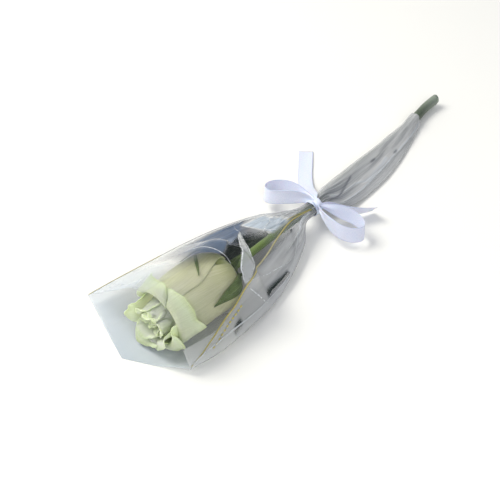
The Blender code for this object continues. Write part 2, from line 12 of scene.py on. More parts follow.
import bpy
import numpy as np
from mathutils import Matrix, Vector


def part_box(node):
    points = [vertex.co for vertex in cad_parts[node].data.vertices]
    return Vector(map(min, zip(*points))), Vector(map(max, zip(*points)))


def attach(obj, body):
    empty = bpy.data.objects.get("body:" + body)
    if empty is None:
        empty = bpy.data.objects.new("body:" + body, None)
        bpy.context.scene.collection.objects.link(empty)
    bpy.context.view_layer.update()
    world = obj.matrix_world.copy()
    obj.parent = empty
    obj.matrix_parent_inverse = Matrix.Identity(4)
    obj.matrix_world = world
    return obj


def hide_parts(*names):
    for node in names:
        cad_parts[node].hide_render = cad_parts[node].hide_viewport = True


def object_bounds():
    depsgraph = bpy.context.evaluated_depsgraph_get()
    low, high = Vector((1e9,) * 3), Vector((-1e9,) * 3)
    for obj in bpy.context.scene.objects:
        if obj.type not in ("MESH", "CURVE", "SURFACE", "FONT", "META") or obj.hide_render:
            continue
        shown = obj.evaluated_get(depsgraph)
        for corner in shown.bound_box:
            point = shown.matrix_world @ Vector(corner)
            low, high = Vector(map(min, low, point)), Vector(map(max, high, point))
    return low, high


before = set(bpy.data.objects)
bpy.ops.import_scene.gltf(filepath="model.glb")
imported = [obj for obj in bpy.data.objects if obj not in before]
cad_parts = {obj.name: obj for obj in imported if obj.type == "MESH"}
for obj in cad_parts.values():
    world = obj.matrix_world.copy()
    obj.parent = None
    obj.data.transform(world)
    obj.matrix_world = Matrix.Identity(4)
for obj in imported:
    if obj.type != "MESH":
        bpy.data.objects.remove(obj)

cad_box = [list(map(float, corner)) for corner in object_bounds()]
print("CAD box, mm:", [[round(v * 1000, 1) for v in corner] for corner in cad_box])

# %% [markdown]
# The numbers below are millimetres in the frame of the tie: x runs along the stem from the bloom to the cut
# end, y to the far side of the sleeve, z up from the table, with the knot over x = 0. One function turns
# them into the world's metres.

# %% Places in the frame of the tie
MM = 0.001
CENTRE = Vector((4.0, -12.0, 0.0))


def at(x, y, z):
    """A point in millimetres in the tie's frame, as a point in the world."""
    return (Vector((x, y, z)) + CENTRE) * MM


def clamp(value, low=0.0, high=1.0):
    """Limits a value to a range."""
    return max(low, min(high, value))


def soft(value):
    """A soft step from 0 to 1."""
    value = clamp(value)
    return value * value * (3.0 - 2.0 * value)


def follow(points, x):
    """Reads a smooth curve through (x, value, ...) points, given in order of x."""
    last = len(points) - 1
    i = min(max(bisect([p[0] for p in points], x) - 1, 0), last - 1)
    span = points[i + 1][0] - points[i][0]
    t = clamp((x - points[i][0]) / span)
    values = []
    for k in range(1, len(points[0])):
        slopes = []
        for j in (i, i + 1):
            low, high = points[max(j - 1, 0)], points[min(j + 1, last)]
            slopes.append((high[k] - low[k]) / (high[0] - low[0]) * span)
        a, b = points[i][k], points[i + 1][k]
        rise = (3.0 * (b - a) - 2.0 * slopes[0] - slopes[1]) * t * t
        rise += (2.0 * (a - b) + slopes[0] + slopes[1]) * t**3
        values.append(a + slopes[0] * t + rise)
    return values if len(values) > 1 else values[0]


print("the knot is at", [round(v, 4) for v in at(-4.0, -3.2, 19.6)])

# %% [markdown]
# Petals, leaves, film and ribbon are all thin sheets with a shape of their own. Each starts as Blender's
# grid primitive. Its corners carry UV coordinates from 0 to 1, and each vertex then moves to its place by a
# formula. A Solidify modifier gives the sheet its thickness, and applying it makes the wall real.

# %% Small tools for modelling
def deselect():
    """Nothing stays selected, so the next operator acts on its own piece alone."""
    if bpy.context.object and bpy.context.object.mode != "OBJECT":
        bpy.ops.object.mode_set(mode="OBJECT")
    bpy.ops.object.select_all(action="DESELECT")


def choose(piece):
    """Makes one piece the selected and active one."""
    deselect()
    piece.select_set(True)
    bpy.context.view_layer.objects.active = piece


def apply_modifier(piece, kind, **settings):
    """Adds a modifier and applies it at once."""
    choose(piece)
    bpy.ops.object.modifier_add(type=kind)
    modifier = piece.modifiers[-1]
    for key, value in settings.items():
        setattr(modifier, key, value)
    bpy.ops.object.modifier_apply(modifier=modifier.name)


def shaped_grid(name, across, along, place):
    """A grid of across x along faces whose vertices go to place(u, v), u across and v along, 0 to 1."""
    deselect()
    bpy.ops.mesh.primitive_grid_add(x_subdivisions=across, y_subdivisions=along, size=2.0)
    piece = bpy.context.object
    piece.name = name
    piece.data.name = name
    for vert in piece.data.vertices:
        vert.co = place((vert.co.x + 1.0) / 2.0, (vert.co.y + 1.0) / 2.0)
    piece.data.update()
    return piece


def thicken(piece, thickness, offset=0.0):
    """Gives a sheet its wall, in millimetres."""
    apply_modifier(piece, "SOLIDIFY", thickness=thickness * MM, offset=offset)
    return piece


def join(name, pieces):
    """Makes one object of several."""
    choose(pieces[0])
    for piece in pieces[1:]:
        piece.select_set(True)
    bpy.ops.object.join()
    joined = bpy.context.object
    joined.name = name
    joined.data.name = name
    return joined


def dress(piece, look, slot, *nodes):
    """Gives a piece its finish, its place in the frame and the solids that it stands for."""
    piece.data.materials.clear()
    piece.data.materials.append(look)
    piece.data.shade_smooth()
    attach(piece, "root")
    if nodes:
        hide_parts(*nodes)
    print(piece.name, sum(len(f.vertices) - 2 for f in piece.data.polygons), "triangles")
    return piece


# %% [markdown]
# Materials are node trees. Colours are written as the sRGB hex values that a colour picker shows, and
# Blender works in linear light, so one function converts them. One more adds a node and links it.

# %% Small tools for materials
def hue(text, alpha=1.0):
    """An sRGB hex value as a linear colour."""
    parts = [int(text[i : i + 2], 16) / 255.0 for i in (1, 3, 5)]
    linear = [p / 12.92 if p <= 0.04045 else ((p + 0.055) / 1.055) ** 2.4 for p in parts]
    return (*linear, alpha)


def add(tree, kind, links=None, **settings):
    """Adds a node with its settings, and its inputs as values or as sockets to link from."""
    node = tree.nodes.new(kind)
    for key, value in settings.items():
        setattr(node, key, value)
    for key, value in (links or {}).items():
        if isinstance(value, bpy.types.NodeSocket):
            tree.links.new(value, node.inputs[key])
        else:
            node.inputs[key].default_value = value
    return node


def new_look(name):
    """A new material with its tree, its shader and its output."""
    look = bpy.data.materials.new(name)
    look.use_nodes = True
    tree = look.node_tree
    return look, tree, tree.nodes["Principled BSDF"]


def ramp(tree, factor, stops):
    """A colour ramp through (place, hex) stops."""
    node = add(tree, "ShaderNodeValToRGB", {"Fac": factor})
    node.color_ramp.elements[0].position = stops[0][0]
    node.color_ramp.elements[0].color = hue(stops[0][1])
    node.color_ramp.elements[1].position = stops[-1][0]
    node.color_ramp.elements[1].color = hue(stops[-1][1])
    for place, text in stops[1:-1]:
        node.color_ramp.elements.new(place).color = hue(text)
    return node.outputs["Color"]


def bump(tree, height, distance, strength=1.0):
    """A bump of a height pattern, with its depth in millimetres."""
    node = add(tree, "ShaderNodeBump", {"Height": height, "Distance": distance * MM, "Strength": strength})
    return node.outputs["Normal"]


# %% [markdown]
# ## The camera and the light
# The photograph looks down at about 45 degrees, along the rose from its bloom side, from about 0.7 m away.
# The table is blown out to white, with one soft shadow to the lower right, so the key is a large soft light
# from the upper left. The film only shows because it reflects darker parts of the room, so the world
# is bright to the upper left and grey to the right.

# %% Camera
camera = bpy.data.objects.new("camera", bpy.data.cameras.new("camera"))
bpy.context.scene.collection.objects.link(camera)
camera.location = (-0.4369813, -0.3143277, 0.4949748)
aim = Vector((-0.0582430, 0.0043528, 0.0)) - camera.location
camera.rotation_euler = aim.to_track_quat("-Z", "Y").to_euler()
camera.data.lens = 64.8
camera.data.sensor_width = 36.0
camera.data.clip_start = 0.01
bpy.context.scene.camera = camera
print("the camera looks from", round(aim.length, 3), "m away")

# %% Lights, world and table
bpy.context.view_layer.update()
screen_right = camera.matrix_world.to_3x3() @ Vector((1.0, 0.0, 0.0))
away = Vector((-screen_right.y, screen_right.x, 0.0))
bloom_low, bloom_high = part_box("bloom")
table_middle = (bloom_low + bloom_high) / 2.0 + Vector((0.12, 0.0, 0.0))


def area_light(name, place, size, power, colour):
    """A soft square light that looks at the rose."""
    light = bpy.data.objects.new(name, bpy.data.lights.new(name, "AREA"))
    bpy.context.scene.collection.objects.link(light)
    light.location = place
    light.rotation_euler = (table_middle - light.location).to_track_quat("-Z", "Y").to_euler()
    light.data.shape = "SQUARE"
    light.data.size = size
    light.data.energy = power
    light.data.color = hue(colour)[:3]
    return light


area_light("key", -0.98 * screen_right + 0.42 * away + Vector((0.0, 0.0, 1.25)), 0.8, 19.6, "#fffdf6")
area_light("fill", 0.3 * screen_right - 0.9 * away + Vector((0.0, 0.0, 0.75)), 0.7, 5.0, "#f4f6ff")

world = bpy.data.worlds.new("white_room")
world.use_nodes = True
bpy.context.scene.world = world
room = world.node_tree
ray = add(room, "ShaderNodeTexCoord").outputs["Generated"]
toward = (-screen_right * 0.8 + away * 0.6).normalized()
side = add(room, "ShaderNodeVectorMath", {0: ray, 1: toward}, operation="DOT_PRODUCT").outputs["Value"]
share = add(room, "ShaderNodeMapRange", {"Value": side, "From Min": -1.0, "From Max": 1.0}).outputs["Result"]
walls = ramp(room, share, [(0.0, "#8e9298"), (0.42, "#b4b7bd"), (0.62, "#f4f5f8"), (1.0, "#ffffff")])
room.nodes["Background"].inputs["Strength"].default_value = 0.78
room.links.new(walls, room.nodes["Background"].inputs["Color"])
print("two lights and a world")

bpy.context.scene.view_settings.view_transform = "Standard"
bpy.context.scene.view_settings.look = "None"


deselect()
bpy.ops.mesh.primitive_plane_add(size=8.0, location=(0.0, 0.0, 0.0))
table = bpy.context.object
table.name = "table"
look, tree, shader = new_look("white_laminate")
shader.inputs["Base Color"].default_value = hue("#f5f4ef")
shader.inputs["Roughness"].default_value = 0.7
shader.inputs["Specular IOR Level"].default_value = 0.2
table.data.materials.append(look)

# %% [markdown]
# ## The stem
# A florist's rose stem is a waxy green rod, a few millimetres thick, with prickles and small scars. A
# cylinder primitive is the nearest start. Its side edges are subdivided so that it can bend, and every ring
# then moves to its place on the stem's route.

# %% Shape the stem
STEM_END_X = 193.0
STEM_ROUTE = [
    (-100.8, -1.6, 24.6, 3.0),
    (-66.0, -0.4, 21.2, 2.9),
    (-33.0, 0.2, 17.6, 3.0),
    (0.0, 0.0, 13.6, 3.1),
    (33.0, 4.0, 10.0, 3.3),
    (66.0, 5.6, 7.4, 3.5),
    (100.0, 5.6, 5.6, 3.7),
    (132.0, 5.6, 4.9, 3.8),
    (158.0, 7.2, 5.0, 3.9),
    (176.0, 8.8, 5.6, 4.1),
    (STEM_END_X, 8.0, 6.6, 4.4),
]


def long_cylinder(name, sides, cuts, place):
    """A cylinder whose side edges are subdivided, and whose vertices go to place(angle, v, rim)."""
    deselect()
    bpy.ops.mesh.primitive_cylinder_add(vertices=sides, radius=1.0, depth=2.0, end_fill_type="TRIFAN")
    piece = bpy.context.object
    piece.name = name
    bpy.ops.object.mode_set(mode="EDIT")
    bpy.ops.mesh.select_mode(type="EDGE")
    bpy.ops.mesh.select_all(action="DESELECT")
    bpy.ops.object.mode_set(mode="OBJECT")
    for edge in piece.data.edges:
        low, high = (piece.data.vertices[i].co.z for i in edge.vertices)
        edge.select = abs(high - low) > 1.0
    bpy.ops.object.mode_set(mode="EDIT")
    bpy.ops.mesh.subdivide(number_cuts=cuts)
    bpy.ops.object.mode_set(mode="OBJECT")
    for vert in piece.data.vertices:
        rim = math.hypot(vert.co.x, vert.co.y)
        vert.co = place(math.atan2(vert.co.y, vert.co.x), (vert.co.z + 1.0) / 2.0, min(rim, 1.0))
    piece.data.update()
    return piece


def stem_place(angle, v, rim):
    """A point of the stem, with slow swellings at its nodes and a cut end that leans a little."""
    x = STEM_ROUTE[0][0] + (STEM_END_X - STEM_ROUTE[0][0]) * v
    y, z, radius = follow(STEM_ROUTE, x)
    for knee in (-38.0, 60.0, 162.0):
        radius *= 1.0 + 0.07 * math.exp(-(((x - knee) / 3.5) ** 2))
    radius *= 1.0 + 0.015 * math.sin(3.0 * angle + x * 0.05)
    slant = 0.9 * rim * math.cos(angle - 1.0) * soft((v - 0.97) / 0.03)
    rounding = 0.10 * soft((v - 0.995) / 0.005)
    return at(x + slant, y + radius * rim * (1.0 - rounding) * math.cos(angle), z + radius * rim * math.sin(angle))


stem = long_cylinder("stem_rod", 32, 119, stem_place)
print("stem from x =", STEM_ROUTE[0][0], "to", STEM_END_X, "mm")

# %% [markdown]
# Prickles are little curved cones. One is modelled as a cone primitive, its tip is pulled to the bloom's
# side, and each copy is turned out from the stem at its own place.

# %% Prickles
prickles = []
for x, degrees, size in [(-58, 60, 1.5), (-42, 235, 1.6), (44, 205, 1.8), (76, 195, 1.8), (164, 80, 1.6)]:
    y, z, radius = follow(STEM_ROUTE, float(x))
    outward = Vector((0.0, math.cos(math.radians(degrees)), math.sin(math.radians(degrees))))
    deselect()
    bpy.ops.mesh.primitive_cone_add(vertices=16, radius1=1.0, radius2=0.06, depth=2.0)
    prickle = bpy.context.object
    bpy.ops.object.mode_set(mode="EDIT")
    bpy.ops.mesh.select_all(action="SELECT")
    bpy.ops.mesh.subdivide(number_cuts=2)
    bpy.ops.object.mode_set(mode="OBJECT")
    sideways = outward.cross(Vector((1.0, 0.0, 0.0)))
    for vert in prickle.data.vertices:
        rise = (vert.co.z + 1.0) / 2.0
        foot = 1.9 * (1.0 - rise) ** 1.5 + 0.12
        wide = Vector((vert.co.x, vert.co.y, 0.0))
        wide = wide / max(wide.length, 1e-6) * min(wide.length, 1.0)
        lean = -0.35 * size * rise * rise
        point = Vector((x + wide.x * foot * 1.4 + lean, y, z)) + sideways * wide.y * foot * 0.6
        vert.co = at(*(point + outward * (radius - 0.5 + (size + 0.4) * rise)))
    prickles.append(prickle)
stem = join("stem_rod", [stem] + prickles)
print(len(prickles), "prickles")

# %% [markdown]
# The skin of the stem is smooth and waxy, with fine streaks along it. It is fresh green near the bloom, and
# grey-green and a little dry towards the cut.

# %% Rose stem skin
look, tree, shader = new_look("waxy_rose_stem")
place = add(tree, "ShaderNodeTexCoord").outputs["Object"]
split = add(tree, "ShaderNodeSeparateXYZ", {"Vector": place})
far_end = add(tree, "ShaderNodeMapRange", {"Value": split.outputs["X"], "From Min": -0.1, "From Max": 0.2})
tint = ramp(tree, far_end.outputs["Result"],
            [(0.0, "#738a46"), (0.3, "#66793c"), (0.8, "#56684e"), (0.9, "#566152"), (1.0, "#98a196")])
streaks = add(tree, "ShaderNodeMapping", {"Vector": place, "Scale": (60.0, 1400.0, 1400.0)})
grain = add(tree, "ShaderNodeTexNoise", {"Vector": streaks.outputs["Vector"], "Scale": 1.0, "Detail": 4.0})
patch = add(tree, "ShaderNodeTexNoise", {"Vector": place, "Scale": 90.0, "Detail": 3.0})
dark = add(tree, "ShaderNodeMix", {"Factor": grain.outputs["Fac"], "A": tint, "B": hue("#3c5228")},
           data_type="RGBA", blend_type="MULTIPLY")
dark.inputs["Factor"].default_value = 0.5
tree.links.new(ramp(tree, grain.outputs["Fac"], [(0.3, "#b9c4a4"), (0.7, "#ffffff")]), dark.inputs["B"])
tree.links.new(dark.outputs["Result"], shader.inputs["Base Color"])
tree.links.new(add(tree, "ShaderNodeMapRange", {"Value": patch.outputs["Fac"], "To Min": 0.34, "To Max": 0.58})
               .outputs["Result"], shader.inputs["Roughness"])
tree.links.new(bump(tree, grain.outputs["Fac"], 0.12, 0.5), shader.inputs["Normal"])
shader.inputs["Subsurface Weight"].default_value = 0.08
shader.inputs["Subsurface Radius"].default_value = (0.3, 1.0, 0.2)
shader.inputs["Subsurface Scale"].default_value = 0.001
stem_skin = look
dress(stem, stem_skin, "stem_green", "stem")

# %% [markdown]
# ## The bloom
# A rose is a spiral of cupped petals. Each one leaves the cup at its root, bulges, stands straight, and rolls
# outwards at its rim. The large guard petal on top rolls right back and ends in a point. The table
# gives each open petal its angle, width, radius, height and roll, and the heart follows the golden angle,
# which is how a real rose sets its petals.

# %% Petal shapes
BLOOM_BASE = Vector((-106.0, -1.7, 24.0))
BLOOM_YAW = math.radians(7.5)
BLOOM_SQUASH = 0.95
BLOOM_FLOOR = 2.0
BELLY = 17.0
LEAN_FROM = 25.0
ROOT = 5.0
GOLDEN_ANGLE = math.radians(137.5)
OPEN_PETALS = [
    (38.0, 58.0, 23.6, 62.0, 0.16, 2.8, 172.0, 11.0, 10.0, -0.7),
    (116.0, 52.0, 24.2, 63.0, 0.18, 2.6, 166.0, 8.0, 5.0, 0.4),
    (-26.0, 48.0, 22.6, 68.0, 0.14, 2.6, 140.0, 4.0, 4.0, 0.1),
    (-98.0, 54.0, 23.8, 74.0, 0.25, 3.2, 70.0, 2.0, 3.0, -0.2),
    (184.0, 50.0, 22.2, 73.0, 0.20, 3.0, 60.0, 2.0, 3.0, 0.2),
    (64.0, 62.0, 20.6, 71.0, 0.52, 2.4, 64.0, 1.5, 2.0, 0.2),
    (-54.0, 54.0, 18.4, 72.0, 0.16, 3.0, 80.0, 3.0, 2.0, 0.1),
    (142.0, 56.0, 18.0, 72.0, 0.40, 2.6, 60.0, 2.0, 2.0, 0.0),
    (10.0, 54.0, 16.8, 71.0, 0.34, 2.6, 80.0, 2.0, 2.0, -0.1),
    (-112.0, 60.0, 15.0, 74.0, 0.16, 3.0, 50.0, 2.0, 2.0, 0.0),
    (98.0, 64.0, 14.6, 74.0, 0.44, 2.4, 44.0, 1.0, 2.0, 0.0),
]
HEART_HEIGHT = 71.0
HEART_COUNT = 6

bloom_axis = Vector((-math.cos(BLOOM_YAW), math.sin(BLOOM_YAW), 0.0))
bloom_side = Vector((0.0, 0.0, 1.0)).cross(bloom_axis)
turn = Matrix((bloom_side, Vector((0.0, 0.0, BLOOM_SQUASH)), bloom_axis)).transposed()
BLOOM_PLACE = Matrix.Translation(BLOOM_BASE) @ turn.to_4x4()


def bowl(height, full):
    """The bloom's outline as a share of its radius: a plump base, then straight."""
    return math.sqrt(max(0.0, 1.0 - (1.0 - clamp(height / full)) ** 2))


def petal_point(petal, s, t):
    """A point of a petal: s runs from root to rim, t from side to side (-1 to 1)."""
    angle, half, radius, height, narrow, roll, turned, flap, tip, tip_at, ruffle = petal
    wander = angle * 2.0
    rolled = roll * turned + flap
    length = height - ROOT + rolled + tip * max(0.0, 1.0 - abs(t - tip_at) / 0.5) ** 1.3
    length -= (height - ROOT) * 0.16 * abs(t) ** 3.5
    length += 0.6 * math.sin(6.0 * t + wander) + 0.3 * math.sin(15.0 * t + 2.0 * wander)
    along = s * length
    body = height - ROOT
    bend = turned * (1.0 + 0.12 * t * t)
    up = ROOT + min(along, body)
    lean = clamp((up - LEAN_FROM) / (height - LEAN_FROM))
    out = radius * bowl(up, BELLY) * (1.0 - narrow * lean**2)
    if along > body:
        start = math.atan(-2.0 * radius * narrow / (height - LEAN_FROM))
        curled = start + min((along - body) / roll, bend)
        out += roll * (math.cos(start) - math.cos(curled))
        up += roll * (math.sin(curled) - math.sin(start))
        rest = max(0.0, (along - body) - roll * bend)
        out += rest * math.sin(curled)
        up += rest * math.cos(curled)
    wide = 0.55 + 0.45 * soft(s / 0.55)
    theta = angle + t * half * wide
    out += 0.35 * math.sin(3.0 * t + wander) * soft((s - 0.55) / 0.4)
    out += ruffle * math.sin(8.0 * t + wander * 1.7) * soft((s - 0.82) / 0.18)
    out += 0.4 * ruffle * math.sin(17.0 * t + wander) * soft((s - 0.9) / 0.1)
    point = BLOOM_PLACE @ Vector((out * math.cos(theta), out * math.sin(theta), up))
    if point.z < BLOOM_FLOOR:
        point.z = BLOOM_FLOOR + 0.12 * (point.z - BLOOM_FLOOR)
    return at(*point)


def petal_sheet(name, petal, across, along):
    """One petal as a shaped grid with its wall."""
    piece = shaped_grid(name, across, along, lambda u, v: petal_point(petal, v, 2.0 * u - 1.0))
    return thicken(piece, 0.55)


rad = math.radians
guards = [
    petal_sheet(f"guard_{i}", (rad(row[0]), rad(row[1]), *row[2:6], rad(row[6]), *row[7:], 0.35), 44, 60)
    for i, row in enumerate(OPEN_PETALS[:5])
]
ruffled = [
    petal_sheet(f"ruffled_{i}", (rad(row[0]), rad(row[1]), *row[2:6], rad(row[6]), *row[7:], 0.8), 40, 48)
    for i, row in enumerate(OPEN_PETALS[5:])
]
heart = []
for i in range(HEART_COUNT):
    t = i / (HEART_COUNT - 1)
    row = (i * GOLDEN_ANGLE, rad(80.0 - 12.0 * t), 3.6 + 7.4 * t, HEART_HEIGHT, 0.5 - 0.25 * t, 2.5, rad(20.0 + 30.0 * t),
           1.0, 1.5, 0.0, 0.6)
    heart.append(petal_sheet(f"heart_{i}", row, 30, 40))
print(len(guards), "guard petals,", len(ruffled), "ruffled petals,", len(heart), "in the heart")

# %% [markdown]
# Under the petals is the swollen base that they grow from. It hides the gaps at their roots. It is turned
# from a profile with the spin operator, as on a lathe.

# %% The base inside the bloom
deselect()
bpy.ops.mesh.primitive_circle_add(vertices=3, radius=1.0)
core = bpy.context.object
core.name = "petal_base"
bpy.ops.object.mode_set(mode="EDIT")
bpy.ops.mesh.select_all(action="SELECT")
bpy.ops.mesh.delete(type="VERT")
bpy.ops.object.mode_set(mode="OBJECT")
CORE_TOP = 40.0
CORE_RADIUS = 22.4
profile = [(0.0, 0.3)]
for i in range(41):
    t = i / 40
    if t < 0.4:
        up = 1.2 + 10.0 * t / 0.4
        profile.append((CORE_RADIUS * bowl(up, BELLY), up))
    else:
        part = (t - 0.4) / 0.6
        up = 11.2 + (CORE_TOP - 11.2) * math.sin(part * math.pi / 2)
        profile.append((CORE_RADIUS * bowl(11.2, BELLY) * math.cos(part * math.pi / 2), up))
core.data.from_pydata([(r, 0.0, z) for r, z in profile], [(i, i + 1) for i in range(len(profile) - 1)], [])
choose(core)
bpy.ops.object.mode_set(mode="EDIT")
bpy.ops.mesh.select_all(action="SELECT")
bpy.ops.mesh.spin(steps=48, angle=2.0 * math.pi, center=(0.0, 0.0, 0.0), axis=(0.0, 0.0, 1.0))
bpy.ops.mesh.select_all(action="SELECT")
bpy.ops.mesh.remove_doubles(threshold=0.01)
bpy.ops.mesh.normals_make_consistent(inside=False)
bpy.ops.object.mode_set(mode="OBJECT")
for vert in core.data.vertices:
    vert.co = at(*(BLOOM_PLACE @ vert.co))
print("base of", len(core.data.vertices), "vertices")

# %% [markdown]
# A petal is thin, matt and a little see-through, with fine veins that fan out along it. Light that enters it
# spreads before it leaves, which is subsurface scattering. The colour runs from yellow-green at the root
# over cream to a greener rim. The UV map gives the place on each petal: V runs from root to rim.

# %% Petal tissue
def petal_look(name, stops, veins, depth):
    """The tissue of a petal, coloured from root to rim by stops."""
    look, tree, shader = new_look(name)
    uv = add(tree, "ShaderNodeUVMap").outputs["UV"]
    split = add(tree, "ShaderNodeSeparateXYZ", {"Vector": uv})
    broad = add(tree, "ShaderNodeTexNoise", {"Vector": uv, "Scale": 3.0, "Detail": 3.0})
    drift = add(tree, "ShaderNodeMath", {0: broad.outputs["Fac"], 1: 0.16, 2: -0.08}, operation="MULTIPLY_ADD")
    where = add(tree, "ShaderNodeMath", {0: split.outputs["Y"], 1: drift.outputs["Value"]}, operation="ADD")
    tint = ramp(tree, where.outputs["Value"], stops)
    fan = add(tree, "ShaderNodeMapping", {"Vector": uv, "Scale": (veins, 2.2, 1.0)})
    lines = add(tree, "ShaderNodeTexNoise",
                {"Vector": fan.outputs["Vector"], "Scale": 1.0, "Detail": 3.0, "Distortion": 0.3})
    shade = ramp(tree, lines.outputs["Fac"], [(0.3, "#e6ead6"), (0.62, "#ffffff")])
    mixed = add(tree, "ShaderNodeMix", {"A": tint, "B": shade}, data_type="RGBA", blend_type="MULTIPLY")
    mixed.inputs["Factor"].default_value = 0.8
    tree.links.new(mixed.outputs["Result"], shader.inputs["Base Color"])
    tree.links.new(bump(tree, lines.outputs["Fac"], depth, 0.6), shader.inputs["Normal"])
    shader.inputs["Roughness"].default_value = 0.55
    shader.inputs["Specular IOR Level"].default_value = 0.3
    shader.inputs["Sheen Weight"].default_value = 0.15
    shader.inputs["Subsurface Weight"].default_value = 0.7
    shader.inputs["Subsurface Radius"].default_value = (1.0, 1.1, 0.7)
    shader.inputs["Subsurface Scale"].default_value = 0.006
    return look


guard_tissue = petal_look(
    "cream_guard_petal",
    [(0.0, "#b4bb76"), (0.2, "#dde0a2"), (0.6, "#e6ebb0"), (0.8, "#e2edb8"), (0.95, "#dcedbc"), (1.0, "#c6d99c")],
    70.0, 0.10,
)
inner_tissue = petal_look(
    "pale_green_petal",
    [(0.0, "#d0db9a"), (0.5, "#dfecb8"), (0.8, "#e8f4cc"), (0.95, "#eff7d6"), (1.0, "#d4e6b0")],
    50.0, 0.14,
)
bloom_guards = dress(join("guard_petals", guards + [core]), guard_tissue, "petal", "bloom")
bloom_inner = dress(join("ruffled_petals", ruffled + heart), inner_tissue, "petal")

# %% [markdown]
# ## The calyx
# The green cup holds the petals, and its five sepals lie against them like narrow leaves. The cup is a
# cylinder primitive shaped to a profile. A sepal is a grid with a pointed outline.

# %% Cup and sepals
SEPALS = [
    (26.0, 19.0, 38.0, 5.4, 0.4),
    (84.0, 88.0, -12.0, 3.4, 0.0),
    (142.0, 130.0, 34.0, 2.2, 0.2),
    (212.0, 212.0, -12.0, 3.4, 0.0),
    (284.0, 284.0, -12.0, 3.4, 0.0),
]
SEPAL_RADIUS = 25.7
LOBE = ((137.0, 16.5), (76.0, 33.5), 1.3)


def cup_place(angle, v, rim):
    """A point of the cup: a short swelling under the bloom."""
    up = -4.4 + 4.4 * v
    radius = 3.4 + 2.8 * v**1.5 + 0.5 * math.sin(math.pi * v)
    radius *= rim * (1.0 + 0.02 * math.sin(5.0 * angle))
    return at(*(BLOOM_PLACE @ Vector((radius * math.cos(angle), radius * math.sin(angle), up))))


def sepal_place(sepal, s, t):
    """A point of a sepal: s from root to tip, t from side to side (-1 to 1); some bend back to the stem."""
    first, last, length, broad, off = sepal
    half = broad * math.sin(math.pi * clamp(0.2 + 0.8 * s)) ** 1.3 + 0.3
    if length < 0.0:
        up = -3.0 + 3.4 * math.sin(math.pi * s) + length * s * s
        radius = 4.0 + 6.5 * s
    else:
        up = -2.4 + length * s
        radius = max(4.0, SEPAL_RADIUS * bowl(max(up + 0.8, 0.0), BELLY)) + off * math.sin(math.pi * s)
    theta = math.radians(first + (last - first) * s * s) + t * half / max(radius, 5.5)
    radius += 0.25 * math.cos(math.pi * t) * (1.0 - s)
    return at(*(BLOOM_PLACE @ Vector((radius * math.cos(theta), radius * math.sin(theta), up + 0.3 * t * t))))


def lobe_place(s, t):
    """A point of the small side lobe, which lies across the petals from the far sepal's edge."""
    (first, low), (last, high), broad = LOBE
    up = low + (high - low) * s + broad * math.sin(math.pi * clamp(0.1 + 0.9 * s)) * t
    theta = math.radians(first + (last - first) * s)
    radius = SEPAL_RADIUS + 0.3 - 0.6 * t * t
    return at(*(BLOOM_PLACE @ Vector((radius * math.cos(theta), radius * math.sin(theta), up))))


cup = long_cylinder("cup", 40, 11, cup_place)
lobe = thicken(shaped_grid("lobe", 8, 40, lambda u, v: lobe_place(v, 2.0 * u - 1.0)), 0.5)
sepals = [
    thicken(shaped_grid(f"sepal_{i}", 10, 40, lambda u, v, row=row: sepal_place(row, v, 2.0 * u - 1.0)), 0.55)
    for i, row in enumerate(SEPALS)
]
calyx = join("calyx_cup_and_sepals", [cup, lobe] + sepals)
print(len(sepals), "sepals, the longest of", max(row[2] for row in SEPALS), "mm")

# %% [markdown]
# Sepals and leaves are the same kind of tissue: a darker waxy side, a midrib and side veins. The veins are
# drawn from the UV map, where U = 0.5 is the midrib.

# %% Leaf tissue
def leaf_look(name, blade, vein, rough, side_veins):
    """The tissue of a leaf with a midrib and side veins."""
    look, tree, shader = new_look(name)
    uv = add(tree, "ShaderNodeUVMap").outputs["UV"]
    split = add(tree, "ShaderNodeSeparateXYZ", {"Vector": uv})
    off = add(tree, "ShaderNodeMath", {0: split.outputs["X"], 1: 0.5}, operation="SUBTRACT")
    off = add(tree, "ShaderNodeMath", {0: off.outputs["Value"]}, operation="ABSOLUTE")
    rib = add(tree, "ShaderNodeMapRange", {"Value": off.outputs["Value"], "From Min": 0.0, "From Max": 0.035,
                                           "To Min": 1.0, "To Max": 0.0})
    slanted = add(tree, "ShaderNodeMath", {0: off.outputs["Value"], 1: -0.9, 2: split.outputs["Y"]},
                  operation="MULTIPLY_ADD")
    waves = add(tree, "ShaderNodeMath", {0: slanted.outputs["Value"], 1: side_veins * 6.2832},
                operation="MULTIPLY")
    waves = add(tree, "ShaderNodeMath", {0: waves.outputs["Value"]}, operation="SINE")
    thin = add(tree, "ShaderNodeMapRange", {"Value": waves.outputs["Value"], "From Min": 0.93, "From Max": 1.0,
                                            "To Min": 0.0, "To Max": 0.55})
    veins = add(tree, "ShaderNodeMath", {0: rib.outputs["Result"], 1: thin.outputs["Result"]}, operation="MAXIMUM")
    place = add(tree, "ShaderNodeTexCoord").outputs["Object"]
    mottle = add(tree, "ShaderNodeTexNoise", {"Vector": place, "Scale": 260.0, "Detail": 5.0})
    body = ramp(tree, mottle.outputs["Fac"], [(0.3, blade[0]), (0.7, blade[1])])
    mixed = add(tree, "ShaderNodeMix", {"Factor": veins.outputs["Value"], "A": body, "B": hue(vein)},
                data_type="RGBA")
    tree.links.new(mixed.outputs["Result"], shader.inputs["Base Color"])
    height = add(tree, "ShaderNodeMath", {0: veins.outputs["Value"], 1: -1.0, 2: mottle.outputs["Fac"]},
                 operation="MULTIPLY_ADD")
    tree.links.new(bump(tree, height.outputs["Value"], 0.15, 0.6), shader.inputs["Normal"])
    shader.inputs["Roughness"].default_value = rough
    shader.inputs["Specular IOR Level"].default_value = 0.2
    return look


